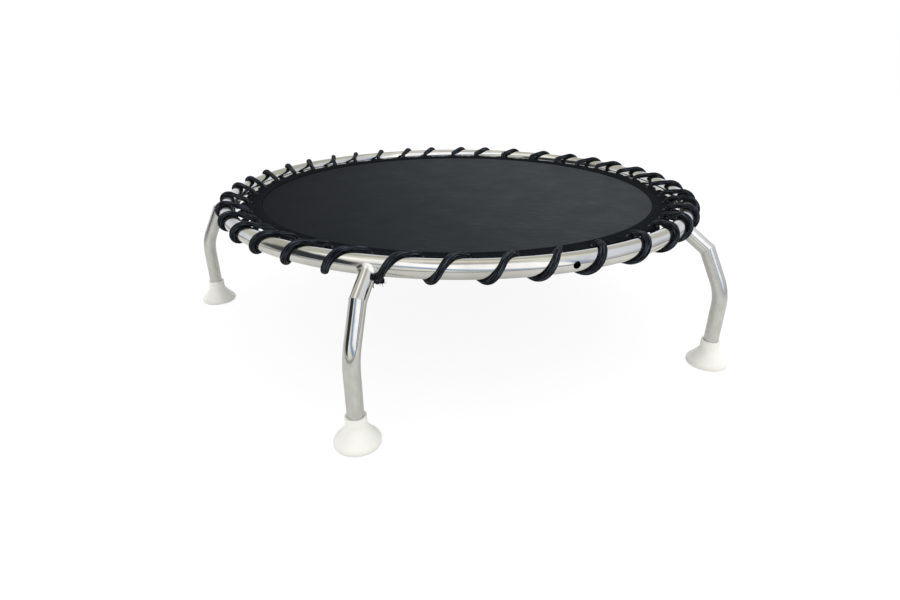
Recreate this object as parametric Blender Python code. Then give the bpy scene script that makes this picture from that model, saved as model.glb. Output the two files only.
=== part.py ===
"""Small round water trampoline: steel ring on five legs, mat laced in with one elastic cord.

Metres, +Z up. The origin is the middle of the mat's top face. One leg stands at -Y.
"""
import math

import bmesh
import bpy
from mathutils import Matrix, Vector

# Clearance between pieces that touch on the real object
TOUCH_GAP = 0.0003

# Rim: a steel tube bent to a circle, measured to the tube's centreline
RIM_CIRCLE_RADIUS = 0.500
RIM_TUBE_RADIUS = 0.016
RIM_WALL = 0.0015
RIM_HEIGHT = 0.2645
DRAIN_HOLE_DIAMETER = 0.0125

# Legs: a stub welded under the rim, mitred to a tube that bends upright above its foot
LEG_COUNT = 5
LEG_TUBE_RADIUS = 0.0135
LEG_WALL = 0.0015
STUB_REACH = 0.064
STUB_DROP_ANGLE = math.radians(35.0)
LEG_SPLAY_REACH = 0.0387
LEG_SPLAY_ANGLE = math.radians(26.3)
LEG_BEND_RADIUS = 0.110

# Rubber foot
FOOT_HEIGHT = 0.051
FOOT_BASE_RADIUS = 0.038
FOOT_COLLAR_WALL = 0.0037
FOOT_COLLAR_HEIGHT = 0.016
FOOT_FLARE_POWER = 1.35
FOOT_LIP_HEIGHT = 0.0075
FOOT_EDGE_BEVEL = 0.0025
FOOT_WEB = 0.014
SOLE_RECESS_RADIUS = 0.025
SOLE_RECESS_DEPTH = 0.003

# Mat, and the webbing folded over its edge, which presses the cloth thinner on both sides
MAT_THICKNESS = 0.0016
MAT_PRESSED_BY = 0.0002
MAT_TO_RIM_GAP = 0.011
BORDER_WIDTH = 0.041
BORDER_PLY = 0.0014

# Eyelets; the distances run from the middle of the bore to the border's edge, and from the
# hole in the webbing to the edge of the cloth inside the fold
EYELET_EDGE_DISTANCE = 0.0115
EYELET_CLOTH_DISTANCE = 0.0022
EYELET_WALL = 0.0010
EYELET_FLANGE_WIDTH = 0.0035
EYELET_FLANGE_THICKNESS = 0.0008

# Elastic cord, and the knot that ties its two ends
CORD_RADIUS = 0.00525
CORD_INNER_BEND_RADIUS = 0.00225
CORD_BEND_CLEARANCE = 0.0004
KNOT_RADIUS = 0.0085
KNOT_END_RADIUS = 0.0053
KNOT_LENGTH = 0.020
KNOT_SHOULDER = 0.0065

# The cord's wraps over the rim, bay by bay from the front leg on, counterclockwise from
# above: how far each lies from the leg where its bay begins, in degrees
WRAP_BAYS = (
    (5.0, 14.2, 23.8, 32.9, 42.3, 53.5, 63.9, 72.2),
    (8.5, 16.5, 23.8, 34.4, 44.6, 53.7, 64.0, 72.4),
    (9.4, 19.5, 30.6, 41.0, 49.7, 60.4, 68.9),
    (6.8, 16.3, 24.9, 34.8, 43.8, 54.0, 63.0, 71.2),
    (9.6, 19.2, 29.0, 38.8, 47.6, 57.1, 66.5),
)
WRAP_SWEEP_PER_TURN = math.radians(7.8)
EYELET_LEAD = math.radians(2.8)
KNOT_AZIMUTH_FROM_LEG = math.radians(1.0)
KNOT_TUBE_ANGLE = math.radians(280.0)

# Faces on round shapes
RIM_SEGMENTS = 72
RIM_SIDES = 16
RIM_BORE_SIDES = 8
LEG_SIDES = 16
LEG_BORE_SIDES = 8
LEG_BEND_POINTS = 4
FOOT_SIDES = 20
FOOT_FLARE_POINTS = 3
MAT_SEGMENTS = 72
EYELET_SIDES = 8
HOLE_SIDES = 12
KNOT_SIDES = 10
CORD_BEVEL_RESOLUTION = 1
WRAP_POINTS = 6
CORD_BEND_POINTS = 2
SMOOTH_ANGLE = math.radians(40.0)

# Places that follow from the sizes above
RIM_Z = -MAT_THICKNESS / 2
FLOOR_Z = RIM_Z - RIM_HEIGHT
FRONT_LEG_AZIMUTH = math.radians(270.0)
LEG_SPACING = math.tau / LEG_COUNT
BORDER_OUTER_RADIUS = RIM_CIRCLE_RADIUS - RIM_TUBE_RADIUS - MAT_TO_RIM_GAP
BORDER_INNER_RADIUS = BORDER_OUTER_RADIUS - BORDER_WIDTH
BORDER_HALF_THICKNESS = MAT_THICKNESS / 2 + TOUCH_GAP + BORDER_PLY
EYELET_CIRCLE_RADIUS = BORDER_OUTER_RADIUS - EYELET_EDGE_DISTANCE
EYELET_BORE_RADIUS = (CORD_RADIUS + TOUCH_GAP) / math.cos(math.pi / EYELET_SIDES)
EYELET_BARREL_RADIUS = EYELET_BORE_RADIUS + EYELET_WALL
EYELET_HOLE_RADIUS = EYELET_BARREL_RADIUS + TOUCH_GAP
EYELET_FLANGE_RADIUS = EYELET_BORE_RADIUS + EYELET_FLANGE_WIDTH
FLANGE_BOTTOM = BORDER_HALF_THICKNESS + TOUCH_GAP
FLANGE_TOP = FLANGE_BOTTOM + EYELET_FLANGE_THICKNESS
FOLD_HALF_HEIGHT = MAT_THICKNESS / 2 + TOUCH_GAP
FOLD_RADIUS = EYELET_CIRCLE_RADIUS - EYELET_HOLE_RADIUS - EYELET_CLOTH_DISTANCE
MAT_RADIUS = FOLD_RADIUS - TOUCH_GAP
MAT_OPEN_RADIUS = BORDER_INNER_RADIUS - TOUCH_GAP
CORD_BEND_RADIUS = CORD_RADIUS + CORD_INNER_BEND_RADIUS
FOOT_CIRCLE_RADIUS = (
    RIM_CIRCLE_RADIUS + STUB_REACH * math.cos(STUB_DROP_ANGLE) + LEG_SPLAY_REACH
)
FOOT_SOCKET_RADIUS = (LEG_TUBE_RADIUS + TOUCH_GAP) / math.cos(math.pi / FOOT_SIDES)
FOOT_COLLAR_RADIUS = FOOT_SOCKET_RADIUS + FOOT_COLLAR_WALL


def clear_scene():
    for thing in list(bpy.data.objects):
        bpy.data.objects.remove(thing)


def material(name, color, roughness, metallic=0.0):
    made = bpy.data.materials.new(name)
    made.use_nodes = True
    shader = made.node_tree.nodes["Principled BSDF"]
    shader.inputs["Base Color"].default_value = (*color, 1.0)
    shader.inputs["Roughness"].default_value = roughness
    shader.inputs["Metallic"].default_value = metallic
    return made


def add_object(name, data, finish=None):
    made = bpy.data.objects.new(name, data)
    bpy.context.collection.objects.link(made)
    if finish and not data.materials:
        data.materials.append(finish)
    return made


def mesh_from(bm, name):
    mesh = bpy.data.meshes.new(name)
    bm.to_mesh(mesh)
    bm.free()
    mesh.shade_smooth()
    mesh.set_sharp_from_angle(angle=SMOOTH_ANGLE)
    return mesh


def bridge(bm, first, second):
    """Join two rings of vertices; a ring of one vertex is a point."""
    faces = []
    count = max(len(first), len(second))
    for step in range(count):
        after = (step + 1) % count
        corners = [
            first[step % len(first)],
            first[after % len(first)],
            second[after % len(second)],
            second[step % len(second)],
        ]
        corners = list(dict.fromkeys(corners))
        if len(corners) > 2:
            faces.append(bm.faces.new(corners))
    return faces


def loft_closed(bm, rings, inside_out=False):
    """Skin a closed loop of rings as one shell."""
    faces = []
    for index, ring in enumerate(rings):
        faces += bridge(bm, ring, rings[(index + 1) % len(rings)])
    bmesh.ops.recalc_face_normals(bm, faces=faces)
    if inside_out:
        bmesh.ops.reverse_faces(bm, faces=faces)


def turned_rings(bm, profile, sides, placed=Matrix.Identity(4)):
    """A ring of vertices about the local Z axis for each (radius, height) point."""
    rings = []
    for radius, height in profile:
        count = sides if radius > 0 else 1
        ring = []
        for step in range(count):
            angle = math.tau * step / sides
            spot = Vector((radius * math.cos(angle), radius * math.sin(angle), height))
            ring.append(bm.verts.new(placed @ spot))
        rings.append(ring)
    return rings


def turn_profile(bm, profile, sides, placed=Matrix.Identity(4)):
    """Turn a closed outline of (radius, height) points about the local Z axis."""
    loft_closed(bm, turned_rings(bm, profile, sides, placed))


def circle_outline(radius, sides, middle=(0.0, 0.0)):
    points = []
    for step in range(sides):
        angle = math.tau * (step + 0.5) / sides
        points.append((middle[0] + radius * math.cos(angle), middle[1] + radius * math.sin(angle)))
    return points


def ring_tube(bm, tube_radius, sides, inside_out=False):
    """A round tube bent to the rim's circle."""
    rings = []
    for step in range(RIM_SEGMENTS):
        turned = Matrix.Rotation(math.tau * step / RIM_SEGMENTS, 4, "Z")
        outline = circle_outline(tube_radius, sides, (RIM_CIRCLE_RADIUS, RIM_Z))
        rings.append([bm.verts.new(turned @ Vector((x, 0.0, z))) for x, z in outline])
    loft_closed(bm, rings, inside_out)


def section(bm, centre, along, cut_normal, radius, sides):
    """A round tube's section, drawn where a plane cuts the tube."""
    sideways = Vector((0.0, 1.0, 0.0))
    upward = along.cross(sideways)
    ring = []
    for step in range(sides):
        angle = math.tau * (step + 0.5) / sides
        spot = sideways * (radius * math.cos(angle)) + upward * (radius * math.sin(angle))
        spot -= along * (spot.dot(cut_normal) / along.dot(cut_normal))
        ring.append(bm.verts.new(centre + spot))
    return ring


def hollow_tube(name, path, radius, wall, cuts):
    """A tube along a path in the local XZ plane; cuts holds the normals of its two ends."""
    bm = bmesh.new()
    shells = []
    for tube_radius, sides in ((radius, LEG_SIDES), (radius - wall, LEG_BORE_SIDES)):
        rings = []
        for index, centre in enumerate(path):
            before = (centre - path[index - 1]).normalized() if index else None
            after = (path[index + 1] - centre).normalized() if index + 1 < len(path) else None
            if before is None:
                along, normal = after, cuts[0]
            elif after is None:
                along, normal = before, cuts[1]
            else:
                along = before
                normal = (before + after).normalized()
            rings.append(section(bm, centre, along, normal, tube_radius, sides))
        shells.append(rings)
    outer, inner = shells
    for rings in shells:
        for first, second in zip(rings, rings[1:]):
            bridge(bm, first, second)
    for outer_end, inner_end in ((outer[0], inner[0]), (outer[-1], inner[-1])):
        edges = []
        for ring in (outer_end, inner_end):
            for index, vert in enumerate(ring):
                edges.append(bm.edges.get((vert, ring[(index + 1) % len(ring)])))
        bmesh.ops.triangle_fill(bm, edges=edges, use_beauty=True)
    bmesh.ops.recalc_face_normals(bm, faces=bm.faces)
    return mesh_from(bm, name)


def cutter(name, bm):
    made = add_object(name, mesh_from(bm, name))
    made.hide_render = True
    made.display_type = "WIRE"
    return made


def subtract(target, tool):
    cut = target.modifiers.new("cut", "BOOLEAN")
    cut.operation = "DIFFERENCE"
    cut.object = tool


def leg_azimuths():
    return [FRONT_LEG_AZIMUTH + LEG_SPACING * index for index in range(LEG_COUNT)]


def make_rim(steel):
    bm = bmesh.new()
    ring_tube(bm, RIM_TUBE_RADIUS, RIM_SIDES)
    ring_tube(bm, RIM_TUBE_RADIUS - RIM_WALL, RIM_BORE_SIDES, inside_out=True)
    rim = add_object("rim_ring", mesh_from(bm, "rim_ring"), steel)

    # The hole lets the frame flood and drain, and sits halfway between the first two legs.
    # Its cutter starts one wall outside the tube and ends two walls inside it
    bm = bmesh.new()
    depth = 4 * RIM_WALL
    across = Matrix.Rotation(FRONT_LEG_AZIMUTH + LEG_SPACING / 2, 4, "Z")
    start = Matrix.Translation((RIM_CIRCLE_RADIUS + RIM_TUBE_RADIUS + RIM_WALL, 0.0, RIM_Z))
    lying = Matrix.Rotation(math.radians(-90.0), 4, "Y")
    hole_radius = DRAIN_HOLE_DIAMETER / 2
    outline = ((0.0, 0.0), (hole_radius, 0.0), (hole_radius, depth), (0.0, depth))
    turn_profile(bm, outline, HOLE_SIDES, across @ start @ lying)
    subtract(rim, cutter("drain_cutter", bm))


def stub_direction():
    return Vector((math.cos(STUB_DROP_ANGLE), 0.0, -math.sin(STUB_DROP_ANGLE)))


def splay_direction():
    return Vector((math.sin(LEG_SPLAY_ANGLE), 0.0, -math.cos(LEG_SPLAY_ANGLE)))


def crease_point():
    return Vector((RIM_CIRCLE_RADIUS, 0.0, RIM_Z)) + stub_direction() * STUB_REACH


def leg_path(mitre_normal):
    """From the mitre down the splayed run, round the bend and straight into the foot."""
    crease = crease_point()
    splay = splay_direction()
    knee = crease + splay * (LEG_SPLAY_REACH / splay.x)
    tangent = LEG_BEND_RADIUS * math.tan(LEG_SPLAY_ANGLE / 2)
    centre = Vector((FOOT_CIRCLE_RADIUS - LEG_BEND_RADIUS, 0.0, knee.z - tangent))
    path = [crease + splay * (TOUCH_GAP / 2 / splay.dot(mitre_normal))]
    for step in range(LEG_BEND_POINTS + 1):
        angle = LEG_SPLAY_ANGLE * (1 - step / LEG_BEND_POINTS)
        outward = Vector((math.cos(angle), 0.0, math.sin(angle)))
        path.append(centre + outward * LEG_BEND_RADIUS)
    path.append(Vector((FOOT_CIRCLE_RADIUS, 0.0, FLOOR_Z + FOOT_WEB + TOUCH_GAP)))
    return path


def make_legs(polished, satin):
    # The stub starts inside the rim, where the saddle cut then trims it
    mitre_normal = (stub_direction() + splay_direction()).normalized()
    stub = stub_direction()
    stub_start = Vector((RIM_CIRCLE_RADIUS, 0.0, RIM_Z)) + stub * (RIM_TUBE_RADIUS / 2)
    stub_end = crease_point() - stub * (TOUCH_GAP / 2 / stub.dot(mitre_normal))
    stub_mesh = hollow_tube(
        "leg_stub", [stub_start, stub_end], LEG_TUBE_RADIUS, LEG_WALL, (stub, mitre_normal)
    )
    down = Vector((0.0, 0.0, -1.0))
    leg_mesh = hollow_tube(
        "leg_tube", leg_path(mitre_normal), LEG_TUBE_RADIUS, LEG_WALL, (mitre_normal, down)
    )

    # The stub's upper end is a saddle that fits the rim
    bm = bmesh.new()
    ring_tube(bm, RIM_TUBE_RADIUS + TOUCH_GAP, RIM_SIDES)
    saddle = cutter("saddle_cutter", bm)
    for number, azimuth in enumerate(leg_azimuths(), 1):
        stub_object = add_object(f"leg_stub_{number}", stub_mesh, polished)
        stub_object.rotation_euler[2] = azimuth
        subtract(stub_object, saddle)
        leg_object = add_object(f"leg_tube_{number}", leg_mesh, satin)
        leg_object.rotation_euler[2] = azimuth


def foot_outline():
    """Half section of the foot, from the socket's mouth down the outside to the socket's floor."""
    collar_foot = FOOT_HEIGHT - FOOT_COLLAR_HEIGHT
    flare = FOOT_BASE_RADIUS - FOOT_COLLAR_RADIUS
    fall = collar_foot - FOOT_LIP_HEIGHT
    outline = [(FOOT_SOCKET_RADIUS, FOOT_HEIGHT), (FOOT_COLLAR_RADIUS, FOOT_HEIGHT)]

    # Below the collar the side curves outward and runs almost straight to the lip
    for step in range(FOOT_FLARE_POINTS + 1):
        share = step / FOOT_FLARE_POINTS
        radius = FOOT_COLLAR_RADIUS + flare * share ** FOOT_FLARE_POWER
        outline.append((radius, collar_foot - fall * share))
    return outline + [
        (FOOT_BASE_RADIUS, FOOT_EDGE_BEVEL),
        (FOOT_BASE_RADIUS - FOOT_EDGE_BEVEL, 0.0),
        (SOLE_RECESS_RADIUS, 0.0),
        (SOLE_RECESS_RADIUS - SOLE_RECESS_DEPTH, SOLE_RECESS_DEPTH),
        (0.0, SOLE_RECESS_DEPTH),
        (0.0, FOOT_WEB),
        (FOOT_SOCKET_RADIUS, FOOT_WEB),
    ]


def make_feet(rubber):
    bm = bmesh.new()
    turn_profile(bm, foot_outline(), FOOT_SIDES)
    mesh = mesh_from(bm, "foot")
    for number, azimuth in enumerate(leg_azimuths(), 1):
        foot = add_object(f"foot_{number}", mesh, rubber)
        foot.location = (
            FOOT_CIRCLE_RADIUS * math.cos(azimuth),
            FOOT_CIRCLE_RADIUS * math.sin(azimuth),
            FLOOR_Z,
        )
        foot.rotation_euler[2] = azimuth


def wrap_azimuths():
    """Azimuth of every wrap where it crosses the top of the rim."""
    azimuths = []
    for number, leg in enumerate(leg_azimuths()):
        for offset in WRAP_BAYS[number % len(WRAP_BAYS)]:
            azimuths.append(leg + math.radians(offset))
    return azimuths


def eyelet_places():
    """A frame for every eyelet, X outward, at the mat's mid height."""
    places = []
    for azimuth in wrap_azimuths():
        turned = Matrix.Rotation(azimuth + EYELET_LEAD, 4, "Z")
        places.append(turned @ Matrix.Translation((EYELET_CIRCLE_RADIUS, 0.0, RIM_Z)))
    return places


def make_mat(mat_cloth, webbing, dark_metal):
    travel = add_object("mat_travel", None)

    # The cloth's full thickness ends where the webbing begins
    bm = bmesh.new()
    half = MAT_THICKNESS / 2
    pressed = half - MAT_PRESSED_BY
    outline = (
        (0.0, half),
        (MAT_OPEN_RADIUS, half),
        (MAT_OPEN_RADIUS, pressed),
        (MAT_RADIUS, pressed),
        (MAT_RADIUS, -pressed),
        (MAT_OPEN_RADIUS, -pressed),
        (MAT_OPEN_RADIUS, -half),
        (0.0, -half),
    )
    turn_profile(bm, outline, MAT_SEGMENTS, Matrix.Translation((0.0, 0.0, RIM_Z)))
    mat = add_object("jump_mat", mesh_from(bm, "jump_mat"), mat_cloth)

    # The webbing is folded over the mat's edge, so its section is a U that opens inward
    bm = bmesh.new()
    outline = (
        (BORDER_OUTER_RADIUS, BORDER_HALF_THICKNESS),
        (BORDER_OUTER_RADIUS, -BORDER_HALF_THICKNESS),
        (BORDER_INNER_RADIUS, -BORDER_HALF_THICKNESS),
        (BORDER_INNER_RADIUS, -FOLD_HALF_HEIGHT),
        (FOLD_RADIUS, -FOLD_HALF_HEIGHT),
        (FOLD_RADIUS, FOLD_HALF_HEIGHT),
        (BORDER_INNER_RADIUS, FOLD_HALF_HEIGHT),
        (BORDER_INNER_RADIUS, BORDER_HALF_THICKNESS),
    )
    turn_profile(bm, outline, MAT_SEGMENTS, Matrix.Translation((0.0, 0.0, RIM_Z)))
    border = add_object("mat_border", mesh_from(bm, "mat_border"), webbing)

    reach = 2 * BORDER_HALF_THICKNESS
    hole = (
        (0.0, reach),
        (EYELET_HOLE_RADIUS, reach),
        (EYELET_HOLE_RADIUS, -reach),
        (0.0, -reach),
    )
    eyelet = (
        (EYELET_BORE_RADIUS, FLANGE_TOP),
        (EYELET_FLANGE_RADIUS, FLANGE_TOP),
        (EYELET_FLANGE_RADIUS, FLANGE_BOTTOM),
        (EYELET_BARREL_RADIUS, FLANGE_BOTTOM),
        (EYELET_BARREL_RADIUS, -FLANGE_BOTTOM),
        (EYELET_BORE_RADIUS, -FLANGE_BOTTOM),
    )
    holes = bmesh.new()
    bm = bmesh.new()
    turn_profile(bm, eyelet, EYELET_SIDES)
    eyelet_mesh = mesh_from(bm, "eyelet")
    for number, place in enumerate(eyelet_places(), 1):
        turn_profile(holes, hole, EYELET_SIDES, place)
        ring = add_object(f"eyelet_{number:02d}", eyelet_mesh, dark_metal)
        ring.matrix_world = place
        ring.parent = travel
    subtract(border, cutter("hole_cutter", holes))
    for piece in (mat, border):
        piece.parent = travel


def rim_spot(inward, height, azimuth):
    """A point given by its distance inward of the rim's centreline and height above it."""
    radius = RIM_CIRCLE_RADIUS - inward
    return Vector((radius * math.cos(azimuth), radius * math.sin(azimuth), RIM_Z + height))


def cord_layout():
    """Radius of the wraps, middle of the bend at an eyelet, and the angle where they meet."""
    wrap_radius = RIM_TUBE_RADIUS + TOUCH_GAP + CORD_RADIUS
    bend_inward = RIM_CIRCLE_RADIUS - EYELET_CIRCLE_RADIUS - CORD_BEND_RADIUS
    bend_height = FLANGE_TOP + CORD_BEND_CLEARANCE
    reach = math.hypot(bend_inward, bend_height)
    contact = math.atan2(bend_height, bend_inward)
    contact += math.acos((wrap_radius - CORD_BEND_RADIUS) / reach)
    return wrap_radius, bend_inward, bend_height, contact


def eyelet_bend(azimuth, side):
    """Points that round the cord's bend above or below an eyelet, from the rim's side in."""
    _, bend_inward, bend_height, contact = cord_layout()
    step_angle = contact / CORD_BEND_POINTS
    reach = CORD_BEND_RADIUS / math.cos(step_angle / 2)
    points = []
    for step in reversed(range(CORD_BEND_POINTS)):
        angle = step_angle * (step + 0.5)
        inward = bend_inward + reach * math.cos(angle)
        height = bend_height + reach * math.sin(angle)
        points.append(rim_spot(inward, side * height, azimuth))
    return points


def wrap_points(top_azimuth):
    """Points round the rim, from under it over the outside to its top."""
    wrap_radius, _, _, contact = cord_layout()
    step_angle = (math.tau - 2 * contact) / WRAP_POINTS
    reach = wrap_radius / math.cos(step_angle / 2)
    points = []
    for step in reversed(range(WRAP_POINTS)):
        angle = contact + step_angle * (step + 0.5)
        azimuth = top_azimuth - WRAP_SWEEP_PER_TURN * (angle - math.pi / 2) / math.tau
        points.append(rim_spot(reach * math.cos(angle), reach * math.sin(angle), azimuth))
    return points


def knot_middle():
    distance = RIM_TUBE_RADIUS + TOUCH_GAP + KNOT_RADIUS
    inward = distance * math.cos(KNOT_TUBE_ANGLE)
    height = distance * math.sin(KNOT_TUBE_ANGLE)
    return rim_spot(inward, height, FRONT_LEG_AZIMUTH + KNOT_AZIMUTH_FROM_LEG)


def cord_route():
    """The whole cord from the knot, through every wrap and eyelet, back to the knot."""
    route = []
    for number, azimuth in enumerate(wrap_azimuths()):
        wrap = wrap_points(azimuth)
        if number == 0:
            wrap = wrap[1:]
        route += wrap
        route += eyelet_bend(azimuth + EYELET_LEAD, 1)
        route += reversed(eyelet_bend(azimuth + EYELET_LEAD, -1))
    middle = knot_middle()
    clear = KNOT_LENGTH / 2 + TOUCH_GAP + CORD_RADIUS / 2
    first = middle + (route[0] - middle).normalized() * clear
    last = middle + (route[-1] - middle).normalized() * clear
    return [first] + route + [last]


def least_gap(route, spacing=0.003, near=0.045):
    """Least clear gap between stretches of the cord that lie apart along it."""
    spots = []
    travelled = 0.0
    for start, end in zip(route, route[1:]):
        length = (end - start).length
        count = max(1, round(length / spacing))
        for step in range(count):
            spots.append((start.lerp(end, step / count), travelled + length * step / count))
        travelled += length
    least = math.inf
    for index, (spot, place) in enumerate(spots):
        for other, far in spots[index + 1:]:
            if far - place > near:
                least = min(least, (spot - other).length)
    return least - 2 * CORD_RADIUS, travelled


def make_cord(elastic):
    route = cord_route()
    curve = bpy.data.curves.new("bungee_cord", "CURVE")
    curve.dimensions = "3D"
    curve.bevel_depth = CORD_RADIUS
    curve.bevel_resolution = CORD_BEVEL_RESOLUTION
    curve.use_fill_caps = True
    spline = curve.splines.new("POLY")
    spline.points.add(len(route) - 1)
    for point, spot in zip(spline.points, route):
        point.co = (*spot, 1.0)
    add_object("bungee_cord", curve, elastic)
    gap, length = least_gap(route)
    print(f"cord: {length:.3f} m long, least gap to itself {gap * 1000:.1f} mm")

    # The two ends are tied together under the rim, beside the front leg
    bm = bmesh.new()
    half = KNOT_LENGTH / 2
    widest = half - KNOT_SHOULDER
    outline = (
        (0.0, half),
        (KNOT_END_RADIUS, half),
        (KNOT_RADIUS, widest),
        (KNOT_RADIUS, -widest),
        (KNOT_END_RADIUS, -half),
        (0.0, -half),
    )
    turn_profile(bm, outline, KNOT_SIDES)
    knot = add_object("cord_knot", mesh_from(bm, "cord_knot"), elastic)
    knot.location = knot_middle()
    knot.rotation_mode = "QUATERNION"
    knot.rotation_quaternion = (route[1] - route[-2]).to_track_quat("Z", "Y")


def main():
    clear_scene()
    polished = material("polished_steel", (0.72, 0.71, 0.68), 0.15, 1.0)
    satin = material("satin_steel", (0.55, 0.55, 0.53), 0.38, 1.0)
    rubber = material("white_rubber", (0.80, 0.80, 0.77), 0.55)
    mat_cloth = material("mat_cloth", (0.040, 0.046, 0.050), 0.75)
    webbing = material("border_webbing", (0.010, 0.011, 0.013), 0.80)
    dark_metal = material("black_eyelet", (0.015, 0.015, 0.016), 0.40, 0.6)
    elastic = material("elastic_cord", (0.008, 0.009, 0.011), 0.65)
    make_rim(polished)
    make_legs(polished, satin)
    make_feet(rubber)
    make_mat(mat_cloth, webbing, dark_metal)
    make_cord(elastic)


main()
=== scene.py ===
"""Small round water trampoline, dressed over its packed model by a set of Blender operators.

Metres, +Z up. The origin is the middle of the mat's top face. One leg stands at -Y.
"""
import math

import bmesh
import bpy
import numpy as np
from bpy.props import FloatProperty, FloatVectorProperty, IntProperty, PointerProperty
from mathutils import Matrix, Vector, noise


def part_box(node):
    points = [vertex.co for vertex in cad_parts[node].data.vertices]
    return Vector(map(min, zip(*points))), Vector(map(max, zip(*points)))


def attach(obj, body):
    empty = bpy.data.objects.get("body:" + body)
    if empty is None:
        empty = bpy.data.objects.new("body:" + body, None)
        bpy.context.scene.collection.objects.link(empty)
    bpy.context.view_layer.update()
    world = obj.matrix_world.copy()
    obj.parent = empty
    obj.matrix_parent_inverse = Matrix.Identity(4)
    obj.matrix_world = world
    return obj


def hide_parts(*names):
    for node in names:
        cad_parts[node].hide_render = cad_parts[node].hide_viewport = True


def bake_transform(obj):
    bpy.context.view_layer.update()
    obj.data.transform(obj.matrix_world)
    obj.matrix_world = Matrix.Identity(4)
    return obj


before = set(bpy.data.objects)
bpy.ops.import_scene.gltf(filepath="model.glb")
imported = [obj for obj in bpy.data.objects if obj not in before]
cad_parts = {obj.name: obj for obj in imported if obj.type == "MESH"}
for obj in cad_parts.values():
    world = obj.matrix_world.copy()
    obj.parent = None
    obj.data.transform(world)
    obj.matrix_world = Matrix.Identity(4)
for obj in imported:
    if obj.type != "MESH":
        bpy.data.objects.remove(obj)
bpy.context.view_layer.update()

bl_info = {
    "name": "Water Trampoline",
    "version": (1, 0, 0),
    "blender": (4, 5, 0),
    "location": "3D View > Sidebar > Trampoline",
    "description": "Builds a round water trampoline with a laced mat, and the studio it stands in",
    "category": "Add Mesh",
}

UV_NAME = "metres"
SHARP_ANGLE = math.radians(40.0)
RIGHT_ANGLE = math.radians(90.0)
SIDEWAYS = np.array((0.0, 1.0, 0.0))
UPWARD = np.array((0.0, 0.0, 1.0))
WHITE = (1.0, 1.0, 1.0)

# Radius of the small face that closes the middle of a turned shape
FAN_RADIUS = 0.003


def box_middle(node):
    low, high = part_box(node)
    return (Vector(low) + Vector(high)) / 2


def numbered(prefix):
    return sorted(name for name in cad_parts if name.startswith(prefix))


def azimuths_of(nodes):
    """Angle about the Z axis at which each node stands."""
    middles = [box_middle(node) for node in nodes]
    return [math.atan2(middle.y, middle.x) for middle in middles]


# Places read from the packed model
RIM_Z = box_middle("rim_ring").z
FEET = numbered("foot_")
EYELETS = numbered("eyelet_")
LEG_AZIMUTHS = azimuths_of(FEET)
EYELET_AZIMUTHS = azimuths_of(EYELETS)
FOOT_CIRCLE_RADIUS = box_middle(FEET[0]).xy.length
EYELET_CIRCLE_RADIUS = box_middle(EYELETS[0]).xy.length
FLOOR_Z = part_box(FEET[0])[0][2]
KNOT_MIDDLE = np.array(box_middle("cord_knot"))


def linear(hex_code):
    """Turn an sRGB colour such as #C8C6B9 into the linear values that Blender works in."""
    values = []
    for start in (1, 3, 5):
        value = int(hex_code[start:start + 2], 16) / 255
        values.append(value / 12.92 if value <= 0.04045 else ((value + 0.055) / 1.055) ** 2.4)
    return tuple(values)


def amount(name, value, description, **more):
    return FloatProperty(name=name, description=description, default=value, **more)


def size(name, millimetres, description):
    """A length that a user can change, given in millimetres and kept in metres."""
    return amount(name, millimetres / 1000, description, min=0.0, precision=4, unit="LENGTH")


def angle(name, degrees, description):
    return amount(name, math.radians(degrees), description, subtype="ANGLE", unit="ROTATION")


def vector(name, values, description, **more):
    return FloatVectorProperty(name=name, description=description, default=values, **more)


def colour(name, hex_code, description):
    return vector(name, linear(hex_code), description, min=0.0, max=1.0, subtype="COLOR")


def count(name, total, description):
    return IntProperty(name=name, description=description, default=total, min=3)


class TRAMPOLINE_PG_frame(bpy.types.PropertyGroup):
    """Steel ring, legs and welds"""

    rim_circle: size("Ring radius", 500.0, "Middle of the ring to the middle of its tube")
    rim_tube: size("Ring tube radius", 16.0, "Radius of the ring's tube")
    rim_wall: size("Ring wall", 1.5, "Wall of the ring's tube")
    drain_hole: size("Drain hole", 12.5, "Diameter of the hole that floods and drains the ring")
    leg_tube: size("Leg tube radius", 13.5, "Radius of the stubs and legs")
    leg_wall: size("Leg wall", 1.5, "Wall of the stubs and legs")
    stub_reach: size("Stub reach", 64.0, "Middle of the ring's tube to the mitre, along the stub")
    stub_drop: angle("Stub drop", 35.0, "How far the stub points below level")
    splay_reach: size("Splay reach", 38.7, "How far out the leg's upper run carries the foot")
    splay: angle("Splay", 26.3, "Angle of the leg's upper run off upright")
    bend_radius: size("Leg bend radius", 110.0, "Radius of the bend above the foot")
    saddle_weld: size("Saddle weld", 8.5, "Reach of the weld along the ring and along the stub")
    mitre_bead: size("Mitre weld", 0.6, "Half the width of the weld between stub and leg")
    rim_steps: count("Ring steps", 432, "Faces round the ring")
    rim_sides: count("Ring sides", 48, "Faces round the ring's tube")
    leg_sides: count("Leg sides", 48, "Faces round a leg's tube")
    steel: colour("Stainless steel", "#D2D1CE", "Polished steel")
    steel_shade: colour("Handled steel", "#BDBCB8", "Steel where hands and water have dulled it")
    weld_tint: colour("Weld tint", "#B7AF9F", "Straw tint that stays beside a weld")


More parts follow.
